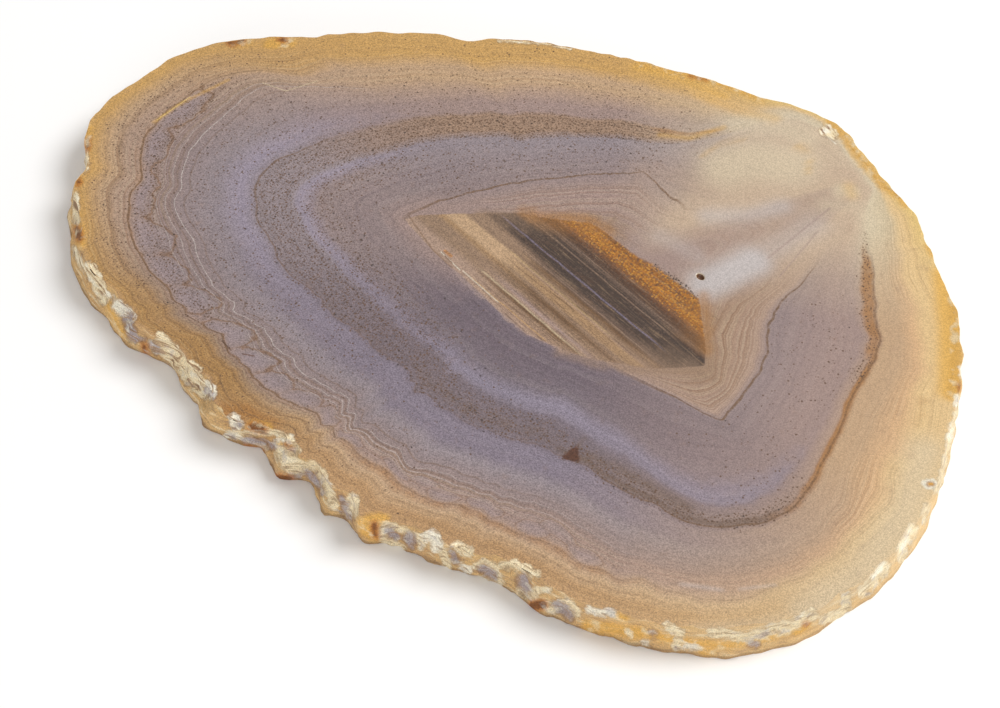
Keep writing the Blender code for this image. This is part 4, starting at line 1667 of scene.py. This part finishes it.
    def sprinkle(self, density: Socket, sorts: tuple[Speckle, ...]) -> None:
        """Lays round specks, one to a cell, where the cell's own number is under the density.

        Args:
            density: Where specks lie, 0 to 1.
            sorts: The sorts of specks, in the order in which they are laid.
        """
        for sort in sorts:
            cell = self.add("TexVoronoi", {"Vector": self.place, "Scale": 1 / (sort.spacing_mm * MM)},
                            "Distance", voronoi_dimensions="2D")
            near = self.edge(cell, Mask(sort.radius_share, SPECK_CORE * sort.radius_share))
            number = self.add("SeparateColor", {0: cell.node.outputs["Color"]})
            chosen = self.fold("LESS_THAN", number, self.fold("MULTIPLY", density, sort.share))
            self.lay(sort.tone, self.fold("MULTIPLY", near, chosen), sort.strength)

    def course_mask(self, stroke: FineStroke) -> Socket:
        """A narrow mark on the face: the least distance to its straight legs, edge roughened.

        The place's shadow on a leg, held between the leg's ends, is the leg's nearest point.

        Args:
            stroke: The mark.

        Returns:
            The mask of the mark.
        """
        corners = [Vector((*(spot * MM), FACE_HEIGHT_MM * MM)) for spot in VIEW.on_face(stroke.pixels)]
        gaps = []
        for start, end in zip(corners[:-1], corners[1:]):
            leg = end - start
            off = self.add("VectorMath", {0: self.place, 1: start}, operation="SUBTRACT")
            shadow = self.add("VectorMath", {0: off, 1: leg / leg.length_squared}, "Value",
                              operation="DOT_PRODUCT")
            nearest = self.add("VectorMath", {0: leg, "Scale": self.add("Clamp", {0: shadow})},
                               operation="SCALE")
            gaps.append(self.add("VectorMath", {0: off, 1: nearest}, "Value", operation="DISTANCE"))
        width, soft = stroke.half_width_mm * MM, stroke.softness
        edge = Mask((1 + STROKE_EDGE * soft) * width, (1 - soft) * width, Ripple.CRUMB,
                    STROKE_FRAY * width)
        return self.edge(self.fold("MINIMUM", *gaps), edge)

    def face_bands(self) -> None:
        """The broad bands: each side's own sequence, blended round the slice; the right end's paleness is
        partly painted light and the lower side's dark smoke partly painted shade.
        """
        self.colour = self.band_colour(self.depth, COOL_BANDS)
        for side, bands in SIDE_BANDS:
            self.cover(self.band_colour(self.depth, bands), self.field_of(side))

    def growth_lines(self) -> None:
        """Fine bands between the levels: noises of the depth alone, which come and go slowly.

        Near the rim and the core they are brown and cream, elsewhere dusky and lilac.
        """
        strength = self.fold("MULTIPLY", self.field_of("growth"),
                             self.edge(self.ripple(Ripple.CLOUD), COME_AND_GO))
        warm = self.fold("MULTIPLY", strength, self.field_of("warm"))
        cool = self.fold("SUBTRACT", strength, warm)
        for (a_level, *masks), depth in ((COARSE_LINES, self.depth), (FINE_LINES, self.calm_depth)):
            noise = self.add("TexNoise", {"W": depth, "Scale": a_level, "Detail": 1.0},
                             noise_dimensions="1D")
            shown = [self.edge(noise, mask) for mask in masks]
            for share, tones in ((warm, WARM_LINES), (cool, COOL_LINES)):
                for lines, (tone, amount) in zip(shown, tones):
                    self.lay(tone, self.fold("MULTIPLY", lines, share), amount)

    def scallops(self) -> None:
        """Grey lilac lobes with thin brown outlines, fainter along the lower edge."""
        lobe = self.field_of("lobe")
        clear = self.add("MapRange", {0: self.field_of("bottom_side"), 3: 1.0,
                                      4: self.finish.bottom_lobe_share})
        for coat in LOBE_COATS:
            self.coat(coat, lobe, clear)
        line = self.fold("MULTIPLY", *(self.edge(lobe, mask) for mask in LOBE_OUTLINE), clear)
        self.lay(Tone.LINE_BROWN, line, LOBE_OUTLINE_STRENGTH)

    def traced_lines(self) -> None:
        """The named thin lines, brown and white, broken here and there."""
        broken = self.edge(self.ripple(Ripple.CRUMB), BROKEN)
        for traces, name, tone, half_width_mm in TRACED_LINES:
            line = self.level_lines([trace.level for trace in traces], half_width_mm)
            shown = self.fold("MULTIPLY", line, self.field_of(name), broken)
            self.lay(tone, shown, TRACED_STRENGTH)

    def pepper(self) -> None:
        """Iron specks in rows along the bands, over a faint brown shade."""
        rows = self.add("TexNoise", {"W": self.calm_depth, "Scale": PEPPER_ROWS_A_LEVEL, "Detail": 1.0},
                        noise_dimensions="1D")
        density = self.fold("MULTIPLY", self.field_of("pepper"), self.edge(rows, PEPPER_ROWS))
        self.lay(Tone.TAN_BROWN, self.field_of("pepper"), PEPPER_SHADE)
        self.sprinkle(density, PEPPER_SPECKS)

    def water_axes(self) -> list[Socket]:
        """Millimetres along and across the water lines from the core's middle.

        Each is the place's share of one of the two directions, less the middle's share.

        Returns:
            The two numbers.
        """
        axes = []
        for turn in (WATER_TURN, WATER_TURN + math.pi / 2):
            axis = (math.cos(turn) / MM, math.sin(turn) / MM, 0.0)
            middle = (axis[0] * CORE_MIDDLE[0] + axis[1] * CORE_MIDDLE[1]) * MM
            dot = self.add("VectorMath", {0: self.place, 1: axis}, "Value", operation="DOT_PRODUCT")
            axes.append(self.fold("SUBTRACT", dot, middle))
        return axes

    def water_lines(self) -> None:
        """The core: straight level bands, paler to the left, amber and granular at the top."""
        outside = self.colour
        along, across = self.water_axes()
        wavy = self.shifted(across, Ripple.WAVE, WATER_WAVE_MM)
        pale_end = self.fold("MULTIPLY", self.edge(along, PALE_ALONG), self.edge(across, PALE_ACROSS))
        self.colour = self.band_colour(wavy, WATER_BANDS)
        self.cover(self.band_colour(wavy, WATER_PALE_BANDS), pale_end)
        lively = self.add("MapRange", {0: pale_end, 3: 1.0, 4: self.finish.pale_end_streak_share})
        plane = self.add("CombineXYZ", {0: along, 1: across})
        for cells_a_mm, coat in STREAKS:
            squashed = self.add("VectorMath", {0: plane, 1: cells_a_mm}, operation="MULTIPLY")
            streak = self.add("TexNoise", {"Vector": squashed, "Scale": 1.0, "Detail": 2.0})
            self.coat(coat, streak, lively)
        for threads, fade_in, fade_out in WATER_THREADS:
            shown = self.fold("MULTIPLY", self.edge(along, Mask(*fade_in)),
                              self.edge(along, Mask(*fade_out)))
            self.water_threads(threads, wavy, shown)
        for part, grains in CORE_GRAINS:
            self.sprinkle(self.edge(across, part), grains)
        gap = self.fold("MULTIPLY", self.fold("SUBTRACT", self.field_of("depth"), Level.CORE),
                        self.field_of("zone_width"))
        core, self.colour = self.colour, outside
        self.cover(core, self.edge(gap, CORE_EDGE))
        for coat in EDGE_STAINS:
            self.coat(coat)

    def water_threads(self, threads: tuple[WaterThread, ...], across: Socket, shown: Socket) -> None:
        """Thin straight lines in the core, as narrow peaks of opacity on one ramp.

        Args:
            threads: The lines, in rising order.
            across: Millimetres from the core's middle.
            shown: Where the lines show.
        """
        stops = []
        for thread in threads:
            rgb = thread.tone.linear[:3]
            for off, opacity in ((-1, 0.0), (0, thread.strength), (1, 0.0)):
                stops.append((thread.across_mm + off * thread.half_width_mm, (*rgb, opacity)))
        ramp = self.banded(across, stops)
        self.cover(ramp.outputs[0], self.fold("MULTIPLY", shown, ramp.outputs[1]))

    def fine_marks(self) -> None:
        """Narrow strokes, the grit by the pit, the dark wedge and the pit itself."""
        for stroke in FINE_STROKES:
            self.lay(stroke.tone, self.course_mask(stroke), stroke.strength)
        self.sprinkle(self.course_mask(GRIT_STROKE), GRIT)
        for coat in DARK_SPOTS:
            self.coat(coat)

    def rind_ground(self, wall: Socket) -> None:
        """The bare rind: tan and gold with fine strata and a painted shade at its foot, faint at the
        right end.

        Args:
            wall: Where the surface is the slab's wall, 0 to 1.
        """
        face = self.colour
        flattened = self.add("VectorMath", {0: self.place, 1: STRATA_CELLS_A_METRE},
                             operation="MULTIPLY")
        strata = self.add("TexNoise", {"Vector": flattened, "Scale": 1.0, "Detail": 3.0})
        height = self.add("SeparateXYZ", {0: self.place}, 2)
        for coat, value in ((GOLDEN, self.ripple(Ripple.DRIFT)), (PALE_STRATA, strata),
                            (DARK_STRATA, strata), (BROWN_SPOTS, self.ripple(Ripple.MOTTLE)),
                            (FOOT_SHADE, height)):
            self.coat(coat, value)
        plain = self.add("MapRange", {0: self.field_of("right_side"), 3: 1.0,
                                      4: self.finish.right_rind_share})
        ground, self.colour = self.colour, face
        self.cover(ground, self.fold("MULTIPLY", wall, plain))

    def rind(self) -> Socket:
        """The natural edge: its ground, a painted shadow line round the chips, then gold, chips, pools
        and rust with rubbed streaks.

        Returns:
            Where the surface is rind, 0 to 1.
        """
        wall = self.edge(self.field_of("skin"), WALL)
        self.rind_ground(wall)
        chips = self.fold("MAXIMUM", *(self.field_of(stain.value) for stain in CHIPPED))
        soft = self.fold("MAXIMUM", self.field_of("right_side"),
                         self.fold("MULTIPLY", self.field_of("bottom_side"), self.finish.bottom_softness))
        crisp = self.add("MapRange", {0: soft, 3: 1.0, 4: self.finish.soft_chip_share})
        self.coat(CHIP_SHADOW_LINE, chips, crisp)
        for coat in RIND_COATS:
            inside = self.field_of(coat.source)
            if Stain(coat.source) in CHIPPED:
                inside = self.fold("MULTIPLY", inside, crisp)
            self.coat(coat, inside)
        mottle = self.ripple(Ripple.MOTTLE)
        self.coat(CREAM_MOTTLES, mottle, self.edge(self.field_of("gold"), GOLD_PATCH))
        chipped = self.edge(chips, CHIPPED_PART)
        rubbed = self.add("CombineXYZ", {0: self.field_of("around"), 1: self.field_of("skin")})
        rubbed = self.add("VectorMath", {0: rubbed, 1: RUBBED_CELLS_A_MM}, operation="MULTIPLY")
        streaks = self.add("TexNoise", {"Vector": rubbed, "Scale": 1.0, "Detail": 4.0,
                                        "Distortion": 0.6})
        for coat in RUBBED_COATS:
            self.coat(coat, streaks, chipped, crisp, crisp)
        self.coat(CHIP_POOLS, mottle, chipped)
        return self.fold("MAXIMUM", wall, chipped)

    def grain(self, rind: Socket) -> None:
        """Fine fibres and broad clouding: the colour times a noise about its gain; the rind's higher gain
        is painted light on the wall.

        Args:
            rind: Where the surface is rind, 0 to 1.
        """
        gain = self.add("MapRange", {0: rind, 3: self.finish.face_gain, 4: self.finish.rind_gain})
        calm = self.fold("MAXIMUM", self.field_of("right_side"), self.field_of("tube_side"))
        fibres = self.add("MapRange", {0: calm, 3: self.finish.grain_strength,
                                       4: self.finish.right_grain_strength})
        gain = self.shifted(gain, Ripple.FIBRE, fibres)
        gain = self.shifted(gain, Ripple.CLOUD, self.finish.cloud_strength)
        self.colour = self.add("VectorMath", {0: self.colour, "Scale": gain}, operation="SCALE")

    def dress(self) -> None:
        """Lays all the layers and gives the piece its material."""
        self.face_bands()
        for coat in WASHES:
            self.coat(coat)
        self.growth_lines()
        self.scallops()
        self.traced_lines()
        self.pepper()
        for coat in CLOUDS:
            self.coat(coat)
        self.water_lines()
        self.fine_marks()
        rind = self.rind()
        self.grain(rind)
        roughness = self.add("MapRange", {0: rind, 3: self.finish.face_roughness,
                                          4: self.finish.rind_roughness})
        relief = self.add("TexNoise",
                          {"Vector": self.place, "Scale": 1 / (self.finish.rind_bump_size_mm * MM),
                           "Detail": 4.0})
        bump = self.add("Bump", {"Strength": rind, "Height": relief,
                                 "Distance": self.finish.rind_bump_mm * MM})
        shader = self.add("BsdfPrincipled", {"Base Color": self.colour, "Roughness": roughness,
                                             "IOR": self.finish.ior, "Normal": bump})
        self.add("OutputMaterial", {0: shader})
        self.piece.data.materials.append(self.material)


@dataclass(frozen=True)
class Lamp:
    """A round soft lamp aimed at the slice: how far round from the camera it stands, and how high."""

    name: str
    watts: float
    size_m: float
    turn_from_camera: float
    elevation: float
    distance_m: float = 1.0

    def build(self) -> None:
        """Makes the lamp."""
        away = toward(VIEW.azimuth + self.turn_from_camera, self.elevation)
        data = bpy.data.lights.new(self.name, "AREA")
        data.energy, data.size, data.shape = self.watts, self.size_m, "DISK"
        lamp = add_object(self.name, data)
        lamp.location = away * self.distance_m
        lamp.rotation_euler = (-away).to_track_quat("-Z", "Y").to_euler()


@dataclass
class StudioStage:
    """A plain white floor, a large soft lamp at the right, a low fill in front, and even light."""

    floor_m: float = 3.0
    floor_gap_mm: float = 0.02
    floor_tone: str = "F6F5F4"
    floor_roughness: float = 0.9
    sky_strength: float = 0.52
    lamps: tuple[Lamp, ...] = (Lamp("softbox", 8.2, 0.6, 102.0, 50.0),
                               Lamp("front_fill", 3.0, 0.7, -20.0, 13.0))

    def build(self) -> None:
        """Makes the floor, the lamps and the even light."""
        half = self.floor_m / 2
        data = bpy.data.meshes.new("studio_floor")
        corners = [(-half, -half), (half, -half), (half, half), (-half, half)]
        data.from_pydata([(x, y, -self.floor_gap_mm * MM) for x, y in corners], [], [(0, 1, 2, 3)])
        floor = add_object("studio_floor", data)
        material = bpy.data.materials.new("white_paper")
        material.use_nodes = True
        shader = material.node_tree.nodes["Principled BSDF"]
        shader.inputs["Base Color"].default_value = srgb(self.floor_tone)
        shader.inputs["Roughness"].default_value = self.floor_roughness
        data.materials.append(material)
        for lamp in self.lamps:
            lamp.build()
        world = bpy.data.worlds.new("studio_air")
        world.use_nodes = True
        backdrop = world.node_tree.nodes["Background"]
        backdrop.inputs[0].default_value = srgb("FFFFFF")
        backdrop.inputs[1].default_value = self.sky_strength
        bpy.context.scene.world = world
        bpy.context.scene.view_settings.view_transform = "Standard"


def main() -> None:
    """Builds the stage, the camera and the slice."""
    logging.basicConfig(level=logging.INFO, format="%(name)s: %(message)s")
    VIEW.place_camera()
    StudioStage().build()
    turns = AgateSlice.turns
    outline = StoneOutline.of_node(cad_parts[CAD_NODE], np.arange(turns) * (360 / turns))
    piece = AgateSlice(outline).build()
    StonePaint(piece).dress()
    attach(piece, BODY)
    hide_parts(CAD_NODE)
    LOG.info("%s: %d faces, %d nodes", piece.name, len(piece.data.polygons),
             len(piece.data.materials[0].node_tree.nodes))


if __name__ == "__main__":
    main()
